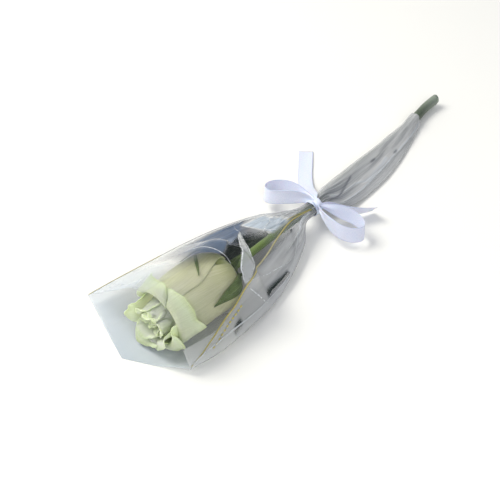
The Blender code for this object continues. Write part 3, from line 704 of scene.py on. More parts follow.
sepal_tissue = leaf_look("green_sepal", ("#3f5227", "#5c6f3c"), "#7d8c56", 0.5, 14.0)
leaf_tissue = leaf_look("dark_rose_leaf", ("#141f15", "#202f1f"), "#2c3b2a", 0.6, 9.0)
dress(calyx, sepal_tissue, "sepal_green", "calyx")

# %% [markdown]
# ## The leaves
# A rose leaflet is an oval with a saw edge, folded a little along its midrib. The saw is made by the
# outline: each tooth rises slowly and drops fast. The stalk is a thin bent cylinder.

# %% Leaflets and stalks
def leaflet_place(length, width, cup_of, teeth, u, v):
    """A point of a leaflet, from its stalk (v = 0) to its tip, in its own frame."""
    phase = (v * teeth) % 1.0
    tooth = 0.84 + 0.16 * (phase / 0.72 if phase < 0.72 else (1.0 - phase) / 0.28)
    t = 2.0 * u - 1.0
    edge = 1.0 + (tooth - 1.0) * abs(t) ** 4
    half = 0.5 * width * math.sin(math.pi * v**0.75) ** 0.6 * edge + 0.3
    ripple = 0.25 * math.sin(v * 30.0 + 2.0 * t) * abs(t) ** 2
    return Vector((length * v, t * half, -0.05 * length * v * v + cup_of * abs(t) * half + ripple))


def leaf(name, route, leaflets):
    """A leaf: leaflets and a stalk through a route of points."""
    pieces = []
    for number, (start, yaw, pitch, roll, length, width, cup_of, teeth) in enumerate(leaflets):
        turned = (
            Matrix.Translation(Vector(start))
            @ Matrix.Rotation(math.radians(yaw), 4, "Z")
            @ Matrix.Rotation(math.radians(-pitch), 4, "Y")
            @ Matrix.Rotation(math.radians(roll), 4, "X")
        )

        def place(u, v):
            return at(*(turned @ leaflet_place(length, width, cup_of, teeth, u, v)))

        pieces.append(thicken(shaped_grid(f"{name}_{number}", 16, teeth * 8, place), 0.4))
    table_of_route = [(i, *p) for i, p in enumerate(route)]

    def stalk_place(angle, v, rim):
        k = v * (len(route) - 1)
        middle = Vector(follow(table_of_route, k))
        ahead = Vector(follow(table_of_route, min(k + 0.05, len(route) - 1)))
        behind = Vector(follow(table_of_route, max(k - 0.05, 0.0)))
        frame_of = (ahead - behind).to_track_quat("Z", "Y").to_matrix()
        radius = (0.85 - 0.25 * v) * rim
        return at(*(middle + frame_of @ Vector((radius * math.cos(angle), radius * math.sin(angle), 0.0))))

    pieces.append(long_cylinder(f"{name}_stalk", 12, 24, stalk_place))
    return join(name, pieces)


leaf_far = leaf(
    "upper_leaf",
    [(-34.0, 4.5, 17.8), (-40.0, 6.6, 17.0), (-46.0, 9.6, 15.8), (-51.0, 11.6, 14.4)],
    [((-50.0, 11.4, 14.5), 168.0, -5.0, 14.0, 52.0, 35.0, 0.14, 16)],
)
leaf_near = leaf(
    "lower_leaf",
    [(-38.0, -4.4, 17.2), (-42.0, -9.4, 14.0), (-48.0, -15.4, 10.6), (-57.0, -20.0, 7.9), (-88.0, -24.0, 7.9)],
    [
        ((-87.0, -23.8, 8.1), 189.0, 2.0, -12.0, 48.0, 11.0, 0.22, 14),
        ((-56.0, -20.0, 8.0), 190.5, 1.2, -16.0, 39.0, 6.0, 0.10, 12),
    ],
)
dress(leaf_far, leaf_tissue, "leaf_green", "leaf_far")
dress(leaf_near, leaf_tissue, "leaf_green", "leaf_near")

# %% [markdown]
# ## The film sleeve
# The sleeve is two panels of clear film, welded along both sides and wrapped round the rose. Its
# cross-section is a taut line over the bloom or the stem, down to the two side seams, and a flat underside.
# At the tie it is gathered into pleats. The same tables as the solid's give the form, in finer steps.

# %% Sleeve form
FAR_SEAM = [
    (-201.0, 72.0, 8.0), (-181.0, 72.0, 8.0), (-117.0, 58.5, 9.0), (-83.0, 49.5, 10.0), (-55.0, 39.0, 10.5),
    (-29.0, 25.0, 11.0), (-14.0, 12.0, 12.6), (-4.0, 5.0, 14.1), (8.0, 8.6, 11.6), (20.0, 11.0, 10.0),
    (44.0, 12.0, 8.6), (100.0, 11.6, 5.5), (140.0, 11.6, 5.0), (158.0, 12.6, 5.0),
]
NEAR_SEAM = [
    (-201.0, -29.0, 5.0), (-181.0, -30.0, 5.0), (-154.0, -36.0, 5.0), (-98.0, -36.0, 5.0), (-64.0, -28.0, 6.0),
    (-40.0, -19.0, 8.0), (-16.0, -8.0, 11.6), (-4.0, -5.0, 14.1), (8.0, -9.0, 9.6), (28.0, -16.6, 3.4),
    (72.0, -18.0, 2.0), (104.0, -13.5, 2.0), (140.0, -4.5, 2.0), (158.0, 0.5, 2.2),
]
CONTENT = [
    (-201.0, 12.0, 25.2, 26.0), (-180.0, 8.0, 26.0, 28.2), (-165.0, 5.6, 26.4, 29.0), (-150.0, 3.6, 26.3, 28.8),
    (-120.0, 0.2, 26.0, 27.6), (-104.0, -2.0, 25.4, 25.0), (-92.0, -2.0, 24.2, 12.0), (-78.0, -1.2, 22.6, 7.0),
    (-60.0, -0.4, 20.6, 5.6), (-33.0, 0.2, 17.6, 4.8), (-4.0, 0.0, 14.1, 4.4), (33.0, 4.0, 10.0, 4.6),
    (66.0, 5.6, 7.4, 4.8), (100.0, 5.6, 5.8, 4.8), (132.0, 5.6, 5.4, 4.9), (158.0, 7.2, 5.5, 5.0),
]
UNDERSIDE = [
    (-201.0, 1.5, 6.0), (-190.0, 0.4, 8.0), (-172.0, 0.0, 13.0), (-126.0, 0.0, 13.0), (-104.0, 1.0, 9.0),
    (-60.0, 5.6, 5.0), (-30.0, 8.4, 3.5), (-4.0, 8.6, 2.0), (20.0, 4.4, 3.0), (56.0, 0.8, 4.5), (84.0, 0.0, 4.5),
    (136.0, 0.0, 4.5), (158.0, 0.2, 4.0),
]
MOUTH_X = -180.0
FLAP_X = -201.0
SLEEVE_END_X = 158.0
OVER = 18.0 / 32.0  # the share of the way round at the near seam; 0 is the far seam
NECK = (-36.0, -9.0, 1.0, 22.0)
PLEATS = 8
FILM_LIFT = 0.05


def taut(start, end, centre, radius):
    """A taut line from start, over a circle, down to end, as a polyline."""

    def touch(point, side):
        away_from = Vector((point[0] - centre[0], point[1] - centre[1]))
        lean = math.acos(min(1.0, radius / away_from.length))
        heading = math.atan2(away_from.y, away_from.x) % (2 * math.pi)
        if side > 0 and heading > math.pi:
            heading -= 2 * math.pi
        return heading + side * lean

    first = touch(start, 1.0)
    last = max(touch(end, -1.0), first)
    line = [start]
    for i in range(25):
        angle = first + (last - first) * i / 24
        line.append((centre[0] + radius * math.cos(angle), centre[1] + radius * math.sin(angle)))
    return np.array(line + [end])


@lru_cache(maxsize=None)
def section(x):
    """The lines of the sleeve's cross-section at x, and how far it is gathered."""
    far = tuple(follow(FAR_SEAM, x))
    near = tuple(follow(NEAR_SEAM, x))
    cy, cz, cr = follow(CONTENT, x)
    low, flat = follow(UNDERSIDE, x)
    over = taut(far, near, (cy, cz), cr)
    steps = np.concatenate([[0.0], np.cumsum(np.linalg.norm(np.diff(over, axis=0), axis=1))])
    gathered = soft((x - NECK[0]) / (NECK[1] - NECK[0])) * (1.0 - soft((x - NECK[2]) / (NECK[3] - NECK[2])))
    return far, near, cy, max(low, 0.0), flat, over, steps / steps[-1], gathered, steps[-1] / OVER


# The folds: (x, share) points along each, its height and its width in millimetres, and the width of the
# painted highlight line along its ridge, where the film is also whitened.
FLAP_LEFT = [(-118.0, 0.428), (-116.0, 0.402), (-112.0, 0.372), (-88.0, 0.288), (-66.0, 0.144)]
FLAP_RIGHT = [
    (-118.0, 0.430), (-112.0, 0.426), (-106.0, 0.408), (-96.0, 0.390), (-93.0, 0.370), (-91.0, 0.354),
    (-85.0, 0.312), (-75.0, 0.234), (-66.0, 0.144),
]
FOLDS = [
    (FLAP_LEFT, 1.0, 3.0, 1.0),
    (FLAP_RIGHT, 0.7, 2.6, 0.5),
    ([(-117.0, 0.434), (-113.0, 0.468), (-109.0, 0.498), (-103.0, 0.540)], 1.3, 3.5, 0.9),
    ([(-112.0, 0.432), (-87.0, 0.456), (-74.0, 0.474), (-57.0, 0.515)], 1.2, 4.0, 0.5),
    ([(-88.0, 0.420), (-72.0, 0.398), (-49.0, 0.388), (-34.0, 0.360)], 1.0, 3.5, 0.0),
    ([(-162.0, 0.500), (-143.0, 0.478), (-131.0, 0.470), (-119.0, 0.462)], 0.6, 3.0, 0.0),
    ([(-58.0, 0.100), (-57.0, 0.228), (-55.0, 0.300), (-52.0, 0.330)], 1.2, 3.0, 0.6),
    ([(-60.0, 0.275), (-47.0, 0.240), (-30.0, 0.180)], 1.6, 3.0, 0.5),
    ([(-54.0, 0.110), (-46.0, 0.200), (-38.0, 0.260), (-20.0, 0.290)], 1.8, 3.5, 0.6),
    ([(-58.0, 0.040), (-42.0, 0.090), (-18.0, 0.120)], 1.4, 3.0, 0.5),
    ([(-74.0, 0.040), (-60.0, 0.060), (-30.0, 0.050)], 1.2, 3.0, 0.4),
    ([(-52.0, 0.320), (-40.0, 0.310), (-18.0, 0.300)], 1.2, 2.6, 0.0),
    ([(-60.0, 0.460), (-44.0, 0.450), (-16.0, 0.430)], 1.2, 3.0, 0.3),
    ([(-46.0, 0.510), (-34.0, 0.490), (-14.0, 0.470)], 1.0, 2.6, 0.0),
    ([(10.0, 0.330), (23.0, 0.328), (45.0, 0.328), (59.0, 0.380), (74.0, 0.367), (92.0, 0.350)], 1.2, 4.0, 0.0),
    ([(10.0, 0.477), (26.0, 0.434), (45.0, 0.430), (68.0, 0.414), (93.0, 0.398), (123.0, 0.438), (153.0, 0.484)],
     1.4, 3.6, 0.6),
    ([(8.0, 0.200), (28.0, 0.230), (60.0, 0.200), (96.0, 0.240)], 0.8, 4.0, 0.0),
    ([(60.0, 0.290), (84.0, 0.260), (110.0, 0.290), (140.0, 0.250)], 0.6, 3.6, 0.0),
]


@lru_cache(maxsize=None)
def folds_at(x):
    """The folds that cross x: where each is, how high and how wide."""
    found = []
    for route, height, wide, _ in FOLDS:
        if route[0][0] < x < route[-1][0]:
            fade = soft((x - route[0][0]) / 8.0) * soft((route[-1][0] - x) / 8.0)
            found.append((follow(route, x), height * fade, wide))
    return found


def creases(x, share, round_length):
    """How far the film stands out from its taut form, in millimetres."""
    on_top = soft(share / 0.03) * (1.0 - soft((share - OVER + 0.03) / 0.03))
    out = 0.0
    for where, height, wide in folds_at(x):
        off = abs(share - where) * round_length / wide
        if off < 1.0:
            out += height * (1.0 - off) ** 1.4
    to_tie = math.exp(-(((x + 26.0) / 22.0) ** 2)) + math.exp(-(((x - 22.0) / 16.0) ** 2))
    for waves, phase, size in ((17.0, 0.4, 0.5), (29.0, 2.1, 0.3)):
        out += to_tie * size * abs(math.sin(waves * math.pi * share + phase + x * 0.012)) ** 1.5
    out += 0.30 * math.sin(x * 0.11 + share * 23.0) * math.sin(x * 0.037 - share * 31.0)
    out += 0.35 * soft((x - 30.0) / 30.0) * math.sin(x * 0.09 + 30.0 * share) * math.sin(0.05 * x + 3.0)
    return on_top * out


def film_point(x, share, lift=0.0):
    """A point of the film at x, share of the way round, lifted off it by millimetres."""
    x = round(float(x), 3)
    far, near, cy, low, flat, over, steps, gathered, round_length = section(x)
    if share <= OVER:
        k = share / OVER
        y = float(np.interp(k, steps, over[:, 0]))
        z = float(np.interp(k, steps, over[:, 1]))
    else:
        k = (share - OVER) / (1.0 - OVER)
        y = near[0] + (far[0] - near[0]) * k
        edge = near if y < cy else far
        reach = max(abs(edge[0] - cy) - flat, 0.5)
        z = low + (edge[1] - low) * soft((abs(y - cy) - flat) / reach)
    ring_y, ring_z, ring_r = follow(STEM_ROUTE, max(x, STEM_ROUTE[0][0]))
    angle = -2 * math.pi * share
    r = ring_r + 1.95 + 0.75 * math.cos(PLEATS * angle) + 0.25 * math.cos(19.0 * angle)
    y += (ring_y + r * math.cos(angle) - y) * gathered
    z += (ring_z - r * math.sin(angle) - z) * gathered
    middle = Vector((0.0, cy, max(far[1], near[1])))
    outward = (Vector((0.0, y, z)) - middle).normalized()
    out = creases(x, share, round_length) + lift
    y += outward.y * out
    z += outward.z * out
    shift = 0.0
    if share > OVER:
        under = (share - OVER) / (1.0 - OVER)
        rise = under / 0.45 if under < 0.45 else (1.0 - under) / 0.55
        shift = (FLAP_X - MOUTH_X) * rise * (1.0 - soft((x - MOUTH_X) / 30.0))
    return Vector((x + shift, y, max(z, FILM_LIFT)))


def film_place(u, v):
    """The film as a grid: u the share of the way round, v from the mouth to the cut end of the film."""
    return at(*film_point(MOUTH_X + (SLEEVE_END_X - MOUTH_X) * v, u % 1.0 if u < 1.0 else 0.0))


film = shaped_grid("film_sleeve", 192, 240, film_place)
flat_places = film.data.attributes.new("flat_place", "FLOAT_VECTOR", "POINT")
for vert in film.data.vertices:
    column, row = vert.index % 193, vert.index // 193
    flat_places.data[vert.index].vector = (MOUTH_X + (SLEEVE_END_X - MOUTH_X) * row / 240, column / 192, 0.0)
choose(film)
bpy.ops.object.mode_set(mode="EDIT")
bpy.ops.mesh.select_all(action="SELECT")
bpy.ops.mesh.remove_doubles(threshold=0.000001)
bpy.ops.mesh.normals_make_consistent(inside=False)
bpy.ops.object.mode_set(mode="OBJECT")
film_places = [tuple(item.vector)[:2] for item in film.data.attributes["flat_place"].data]
film.data.attributes.remove(film.data.attributes["flat_place"])

# %% [markdown]
# Clear film is polypropylene about 0.05 mm thick. Seen straight on it is nearly invisible. It turns grey
# where it is doubled or crumpled, and where it mirrors the darker room. That reflection is painted into it as
# grey and blue-grey along the far shoulder, on the near panel under the gold line and along the whole tail, and
# as pale blue inside the mouth. So each vertex carries how much haze and painted reflection there is, which
# painted reflection colour it takes, and how crumpled the film is, read from a few tables along the film, and
# the shader uses all three.

# %% Film haze, with its painted reflection
MILK_AT = (0.0, 0.05, 0.13, 0.22, 0.29, 0.385, 0.43, 0.555, 0.575, 0.75, 1.0)
# How much haze along x, at each share in MILK_AT: real haze of doubled and crumpled film, with painted reflection on
# the near panel, along the tail and inside the mouth.
MILK_WITH_REFLECTION = [
    (-180.0, 0.20, 0.26, 0.30, 0.34, 0.12, 0.05, 0.16, 0.36, 0.36, 0.34, 0.26),
    (-150.0, 0.14, 0.24, 0.28, 0.26, 0.06, 0.02, 0.12, 0.30, 0.34, 0.26, 0.18),
    (-125.0, 0.12, 0.18, 0.40, 0.66, 0.06, 0.02, 0.30, 0.42, 0.30, 0.10, 0.08),
    (-100.0, 0.16, 0.36, 0.84, 0.60, 0.02, 0.03, 0.46, 0.50, 0.26, 0.06, 0.06),
    (-76.0, 0.30, 0.84, 0.72, 0.03, 0.00, 0.05, 0.56, 0.50, 0.24, 0.06, 0.06),
    (-58.0, 0.40, 0.70, 0.70, 0.40, 0.16, 0.06, 0.52, 0.50, 0.20, 0.08, 0.08),
    (-32.0, 0.44, 0.44, 0.46, 0.46, 0.40, 0.24, 0.46, 0.46, 0.24, 0.16, 0.16),
    (-8.0, 0.40, 0.40, 0.38, 0.36, 0.32, 0.32, 0.42, 0.44, 0.42, 0.40, 0.40),
    (16.0, 0.50, 0.52, 0.56, 0.60, 0.60, 0.60, 0.60, 0.56, 0.50, 0.50, 0.46),
    (60.0, 0.52, 0.56, 0.60, 0.62, 0.62, 0.62, 0.62, 0.58, 0.50, 0.50, 0.46),
    (158.0, 0.50, 0.54, 0.56, 0.58, 0.58, 0.58, 0.60, 0.56, 0.50, 0.50, 0.46),
]
# Which colour the film takes along x, at each share: a painted reflection of the room, from dark blue-grey at 0 over
# greys to near white, and pale blue at 1 inside the mouth.
TONE_WITH_REFLECTION = [
    (-180.0, 0.95, 0.95, 1.00, 1.00, 0.9, 0.75, 0.75, 0.75, 0.90, 1.0, 1.0),
    (-150.0, 0.90, 0.92, 0.95, 0.95, 0.7, 0.70, 0.75, 0.75, 0.75, 0.9, 0.9),
    (-125.0, 0.90, 0.70, 0.40, 0.10, 0.5, 0.60, 0.70, 0.72, 0.70, 0.8, 0.9),
    (-100.0, 0.90, 0.40, 0.10, 0.00, 0.4, 0.60, 0.70, 0.68, 0.65, 0.6, 0.6),
    (-76.0, 0.85, 0.00, 0.00, 0.10, 0.4, 0.50, 0.72, 0.70, 0.65, 0.6, 0.6),
    (-58.0, 0.85, 0.25, 0.20, 0.55, 0.7, 0.60, 0.68, 0.70, 0.65, 0.6, 0.6),
    (-32.0, 0.90, 0.85, 0.50, 0.42, 0.5, 0.55, 0.66, 0.66, 0.65, 0.6, 0.6),
    (-8.0, 0.90, 0.85, 0.70, 0.60, 0.55, 0.55, 0.62, 0.64, 0.65, 0.6, 0.6),
    (16.0, 0.90, 0.75, 0.58, 0.55, 0.46, 0.50, 0.60, 0.62, 0.6, 0.6, 0.6),
    (60.0, 0.62, 0.60, 0.60, 0.66, 0.68, 0.72, 0.70, 0.70, 0.68, 0.68, 0.68),
    (158.0, 0.64, 0.66, 0.66, 0.68, 0.70, 0.74, 0.72, 0.70, 0.68, 0.68, 0.68),
]
GOLD_ROUTE = [
    (-179.0, 0.556), (-170.0, 0.539), (-161.0, 0.518), (-151.0, 0.500), (-142.0, 0.484), (-130.0, 0.466),
    (-120.0, 0.446), (-110.0, 0.428), (-98.0, 0.414), (-85.0, 0.404), (-71.0, 0.391), (-54.0, 0.367),
    (-37.0, 0.350), (-25.0, 0.354), (-12.0, 0.367),
]
# Streaks: (x, share) points along each, half width in share, what it adds to the milk, and its tone.
STREAKS = [
    ([(12.0, 0.34), (23.0, 0.328), (45.0, 0.328), (59.0, 0.38), (74.0, 0.367), (96.0, 0.35)], 0.022, 0.18, 0.85),
    ([(8.0, 0.49), (26.0, 0.44), (45.0, 0.43), (68.0, 0.414), (93.0, 0.398), (123.0, 0.438), (157.0, 0.484)],
     0.020, 0.22, 0.85),
    ([(8.0, 0.455), (22.0, 0.344), (36.0, 0.273), (50.0, 0.21)], 0.014, 0.10, 0.28),
    ([(74.0, 0.236), (79.0, 0.234), (84.0, 0.24)], 0.016, 0.05, 0.30),
    ([(101.0, 0.387), (106.0, 0.391), (111.0, 0.40)], 0.016, 0.05, 0.32),
    ([(-101.0, 0.518), (-91.0, 0.516), (-83.0, 0.520), (-76.0, 0.528), (-66.0, 0.540)], 0.014, -0.46, 0.20),
    ([(-141.0, 0.546), (-135.0, 0.530), (-129.0, 0.520)], 0.010, -0.36, 0.20),
]


def read_map(table_of, x, share):
    """Reads a table with a column for each share in MILK_AT, at x."""
    return float(np.interp(share, MILK_AT, follow(table_of, x)))


# Where the far panel turns down over the leaf it is painted dark blue-grey, a painted reflection of the darker room, up
# to this line.
SHOULDER_REFLECTION = [
    (-150.0, 0.270), (-131.0, 0.270), (-124.0, 0.288), (-116.0, 0.312), (-84.0, 0.206), (-67.0, 0.144),
    (-57.0, 0.080), (-46.0, 0.040),
]


def haze_and_painted_reflection(x, share):
    """How much haze the film has at a place and which painted reflection colour it takes: the shoulder's painted
    reflection, the doubled flap, the crumples with a painted glint, and streaks.
    """
    haze_and_reflection, colour_and_reflection_there = read_map(MILK_WITH_REFLECTION, x, share), read_map(TONE_WITH_REFLECTION, x, share)
    if x < -66.0 and 0.30 < share < 0.50:
        clear = soft((-66.0 - x) / 8.0) * (1.0 - soft((share - follow(GOLD_ROUTE, x) + 0.004) / 0.012))
        haze_and_reflection -= (haze_and_reflection - 0.02) * clear
    # The far shoulder: a painted reflection of the darker room, nearly opaque dark blue-grey, deepest at the shoulder
    # line.
    if SHOULDER_REFLECTION[0][0] < x < SHOULDER_REFLECTION[-1][0] and share < 0.34:
        up_to = follow(SHOULDER_REFLECTION, x)
        t = clamp(share / up_to, 0.0, 1.0)
        depth = soft((x + 150.0) / 44.0) * soft((-46.0 - x) / 16.0)
        dark = t ** (1.2 - 0.8 * soft((x + 124.0) / 36.0))
        dark *= depth * soft(t / 0.3) * (1.0 - soft((share - up_to) / 0.012))
        haze_and_reflection, colour_and_reflection_there = haze_and_reflection + (0.98 - haze_and_reflection) * dark, colour_and_reflection_there * (1.0 - min(1.0, 1.6 * dark))
    if FLAP_RIGHT[0][0] < x < FLAP_RIGHT[-1][0] and follow(FLAP_LEFT, x) < share < follow(FLAP_RIGHT, x):
        haze_and_reflection, colour_and_reflection_there = haze_and_reflection + 0.45, 0.8
    # The crinkled patch near the tie is whiter: partly the film's own whitening, partly a painted highlight.
    crumple_and_glint = soft((x + 59.0) / 3.0) * soft((-32.0 - x) / 8.0) * soft((share - 0.07) / 0.03)
    crumple_and_glint *= soft((0.35 - share) / 0.03)
    haze_and_reflection, colour_and_reflection_there = haze_and_reflection + 0.20 * crumple_and_glint, colour_and_reflection_there + (1.0 - colour_and_reflection_there) * crumple_and_glint
    for route, wide, more, tone_of in STREAKS:
        if route[0][0] < x < route[-1][0]:
            there = math.exp(-(((share - follow(route, x)) / wide) ** 2))
            there *= soft((x - route[0][0]) / 4.0) * soft((route[-1][0] - x) / 4.0)
            haze_and_reflection, colour_and_reflection_there = haze_and_reflection + more * there, colour_and_reflection_there + (tone_of - colour_and_reflection_there) * there
    return clamp(haze_and_reflection, 0.0, 0.98), colour_and_reflection_there


CRUMPLED = [(-180.0, 0.05), (-130.0, 0.08), (-100.0, 0.25), (-60.0, 0.9), (-30.0, 1.0), (20.0, 0.8), (158.0, 0.5)]
haze_with_reflection = film.data.attributes.new("haze_with_reflection", "FLOAT", "POINT")
tone_with_reflection = film.data.attributes.new("tone_with_reflection", "FLOAT", "POINT")
crumple = film.data.attributes.new("crumple", "FLOAT", "POINT")
for i, place in enumerate(film_places):
    haze_with_reflection.data[i].value, tone_with_reflection.data[i].value = haze_and_painted_reflection(*place)
    crumple.data[i].value = follow(CRUMPLED, place[0])
thicken(film, 0.12, -1.0)

# %% Clear film
look, tree, shader = new_look("clear_polypropylene_film")
# The first attribute holds real haze together with painted reflection; the second picks the painted reflection colour.
haze_and_reflection = add(tree, "ShaderNodeAttribute", attribute_name="haze_with_reflection").outputs["Fac"]
reflection_colour_fac = add(tree, "ShaderNodeAttribute", attribute_name="tone_with_reflection").outputs["Fac"]
uv = add(tree, "ShaderNodeUVMap").outputs["UV"]
folds = add(tree, "ShaderNodeMapping", {"Vector": uv, "Scale": (46.0, 5.0, 1.0)})
folds = add(tree, "ShaderNodeTexNoise", {"Vector": folds.outputs["Vector"], "Scale": 1.0, "Detail": 3.0,
                                         "Distortion": 0.6})
place = add(tree, "ShaderNodeTexCoord").outputs["Object"]
crinkle = add(tree, "ShaderNodeTexNoise", {"Vector": place, "Scale": 70.0, "Detail": 4.0, "Distortion": 1.0})
crumple_of = add(tree, "ShaderNodeAttribute", attribute_name="crumple").outputs["Fac"]
uneven = add(tree, "ShaderNodeMath", {0: folds.outputs["Fac"], 1: 0.5}, operation="SUBTRACT").outputs["Value"]
uneven = add(tree, "ShaderNodeMath", {0: uneven, 1: crumple_of}, operation="MULTIPLY").outputs["Value"]
change = add(tree, "ShaderNodeMath", {0: uneven, 1: 0.8, 2: 1.0}, operation="MULTIPLY_ADD").outputs["Value"]
alpha_with_reflection = add(tree, "ShaderNodeMath", {0: haze_and_reflection, 1: change}, operation="MULTIPLY")
edge_on = add(tree, "ShaderNodeLayerWeight", {"Blend": 0.25})
rim = add(tree, "ShaderNodeMath", {0: edge_on.outputs["Facing"], 1: 4.0}, operation="POWER")
rim = add(tree, "ShaderNodeMath", {0: rim.outputs["Value"], 1: 0.22, 2: alpha_with_reflection.outputs["Value"]},
          operation="MULTIPLY_ADD", use_clamp=True)
tree.links.new(rim.outputs["Value"], shader.inputs["Alpha"])
# Painted reflection colours: dark blue-grey on the far shoulder, greys on the near panel and the tail, pale blue inside
# the mouth.
tint = ramp(tree, reflection_colour_fac, [(0.0, "#56657c"), (0.35, "#8f9196"), (0.55, "#b8bbbe"), (0.75, "#e6e7e6"), (1.0, "#bccad9")])
bright = ramp(tree, folds.outputs["Fac"], [(0.3, "#e2e2e2"), (0.62, "#ffffff")])
mixed = add(tree, "ShaderNodeMix", {"Factor": crumple_of, "A": tint, "B": bright}, data_type="RGBA",
            blend_type="MULTIPLY")
tree.links.new(mixed.outputs["Result"], shader.inputs["Base Color"])
height = add(tree, "ShaderNodeMath", {0: crinkle.outputs["Fac"], 1: folds.outputs["Fac"]}, operation="ADD")
height = add(tree, "ShaderNodeMath", {0: height.outputs["Value"], 1: crumple_of}, operation="MULTIPLY")
tree.links.new(bump(tree, height.outputs["Value"], 0.8, 0.6), shader.inputs["Normal"])
shader.inputs["Roughness"].default_value = 0.16
shader.inputs["IOR"].default_value = 1.5
shader.inputs["Subsurface Weight"].default_value = 0.5
shader.inputs["Specular IOR Level"].default_value = 0.2
shader.inputs["Subsurface Radius"].default_value = (1.0, 1.0, 1.0)
shader.inputs["Subsurface Scale"].default_value = 0.001
clear_film = look
dress(film, clear_film, "film", "sleeve")

# %% [markdown]
# A gold line is printed on the upper panel. It runs from the right corner of the mouth to the tie, with
# short plain dashes beside it. The side seams are narrow welded strips. Along the creases are white lines,
# painted highlights on their ridges where the film is also whitened, and there is one pale arc. All of these
# are thin strips that lie on the film and follow its folds.

# %% Printed line and seams
def film_strip(name, route, width, lift, cuts, taper=0.0):
    """A thin strip on the film along (x, share) points, narrower towards its ends where it tapers."""
    table_of_route = [(i, *p) for i, p in enumerate(route)]
    last = len(route) - 1.0

    def on_film(k, extra):
        return film_point(*follow(table_of_route, clamp(k, 0.0, last)), lift + extra)

    def place(u, v):
        middle = on_film(v * last, 0.0)
        ahead = on_film(v * last + 0.05, 0.0) - on_film(v * last - 0.05, 0.0)
        across = (on_film(v * last, 1.0) - middle).cross(ahead).normalized()
        half = width * (1.0 - taper + taper * math.sin(math.pi * v))
        return at(*(middle + across * (u - 0.5) * half))

    return thicken(shaped_grid(name, 2, cuts, place), 0.08)


gold = [film_strip("gold_line", GOLD_ROUTE, 1.0, 0.14, 200)]
gold.append(film_strip("far_gold_line", [(-179.5, 0.003), (-150.0, 0.003), (-118.0, 0.003)], 0.6, 0.14, 90))
gold.append(film_strip("thin_gold_line", [(x, s - 0.024) for x, s in GOLD_ROUTE[12:]], 0.5, 0.14, 60))
DASHES = 11
for i in range(DASHES):
    x = -160.0 + 3.2 * i
    share = follow(GOLD_ROUTE, x) + 0.022
    gold.append(film_strip(f"dash_{i}", [(x, share), (x + 0.9, share - 0.001), (x + 1.8, share - 0.002)], 1.5, 0.14, 4))
NEAR_SEAM_ROUTE = [
    (-179.5, 0.556), (-165.0, 0.537), (-153.0, 0.531), (-131.0, 0.530), (-103.0, 0.535), (-83.0, 0.540),
    (-65.0, 0.548), (-59.0, 0.538), (-43.0, 0.490), (-29.0, 0.430), (-14.0, 0.400),
]
weld_lines = [
    film_strip("far_seam", [(-120.0, 0.002), (-60.0, 0.002), (-14.0, 0.002)], 0.7, 0.12, 120),
    film_strip("near_seam", NEAR_SEAM_ROUTE, 1.9, 0.12, 160),
]
# Pale lines on the film: one arc, and white lines along the creases that are painted highlights on their ridges.
FILM_ARC = [(-129.0, 0.22), (-122.0, 0.25), (-119.0, 0.28), (-117.5, 0.31), (-117.5, 0.335), (-119.0, 0.36)]
highlight_lines = [film_strip("film_arc", FILM_ARC, 0.5, 0.12, 60, 0.7)]
highlight_lines += [
    film_strip(f"crease_{i}", route, white, 0.12, 90, 0.8)
    for i, (route, _, _, white) in enumerate(FOLDS)
    if white
]
highlight_lines.append(film_strip("short_crease_highlight", [(-66.0, 0.144), (-64.0, 0.10), (-60.0, 0.06)], 0.4, 0.12, 40, 0.8))

look, tree, shader = new_look("gold_printing_ink")
place = add(tree, "ShaderNodeTexCoord").outputs["Object"]
split = add(tree, "ShaderNodeSeparateXYZ", {"Vector": place})
along = add(tree, "ShaderNodeMapRange", {"Value": split.outputs["X"], "From Min": -0.176, "From Max": -0.006})
ink = ramp(tree, along.outputs["Result"],
           [(0.0, "#b3a52e"), (0.35, "#c3b557"), (0.6, "#cdc498"), (0.85, "#b5a65c"), (1.0, "#96904e")])
grit = add(tree, "ShaderNodeTexNoise", {"Vector": place, "Scale": 900.0, "Detail": 2.0})
worn = ramp(tree, grit.outputs["Fac"], [(0.3, "#d0d0d0"), (0.6, "#ffffff")])
mixed = add(tree, "ShaderNodeMix", {"A": ink, "B": worn}, data_type="RGBA", blend_type="MULTIPLY")
tree.links.new(mixed.outputs["Result"], shader.inputs["Base Color"])
shader.inputs["Metallic"].default_value = 0.25
shader.inputs["Roughness"].default_value = 0.42
gold_ink = look
gold_print = dress(join("gold_line", gold), gold_ink, "film")

look, tree, shader = new_look("welded_film_seam")
place = add(tree, "ShaderNodeTexCoord").outputs["Object"]
grit = add(tree, "ShaderNodeTexNoise", {"Vector": place, "Scale": 700.0, "Detail": 2.0})
tree.links.new(ramp(tree, grit.outputs["Fac"], [(0.3, "#d9dde0"), (0.7, "#f3f5f6")]), shader.inputs["Base Color"])
shader.inputs["Roughness"].default_value = 0.25
shader.inputs["Alpha"].default_value = 0.55
weld = look
seams = dress(join("side_seams", weld_lines), weld, "film")

# Painted highlights along the creases: near-white, with patchy opacity.
look, tree, shader = new_look("painted_crease_highlight")
place = add(tree, "ShaderNodeTexCoord").outputs["Object"]
grit = add(tree, "ShaderNodeTexNoise", {"Vector": place, "Scale": 300.0, "Detail": 3.0})
shader.inputs["Base Color"].default_value = hue("#f4f7f9")
tree.links.new(add(tree, "ShaderNodeMapRange", {"Value": grit.outputs["Fac"], "From Min": 0.35, "From Max": 0.65,
                                                "To Min": 0.25, "To Max": 0.8}).outputs["Result"],
               shader.inputs["Alpha"])
shader.inputs["Roughness"].default_value = 0.2
crease_highlight_look = look
crease_highlights = dress(join("film_crease_highlights", highlight_lines), crease_highlight_look, "film")

# %% [markdown]
# ## The ribbon
# The ribbon is 12 mm double-faced satin. It goes round the neck as a band, meets in a knot, and makes two
# loops and two tails. Each is a strip that follows a route, pinched where it enters the knot.

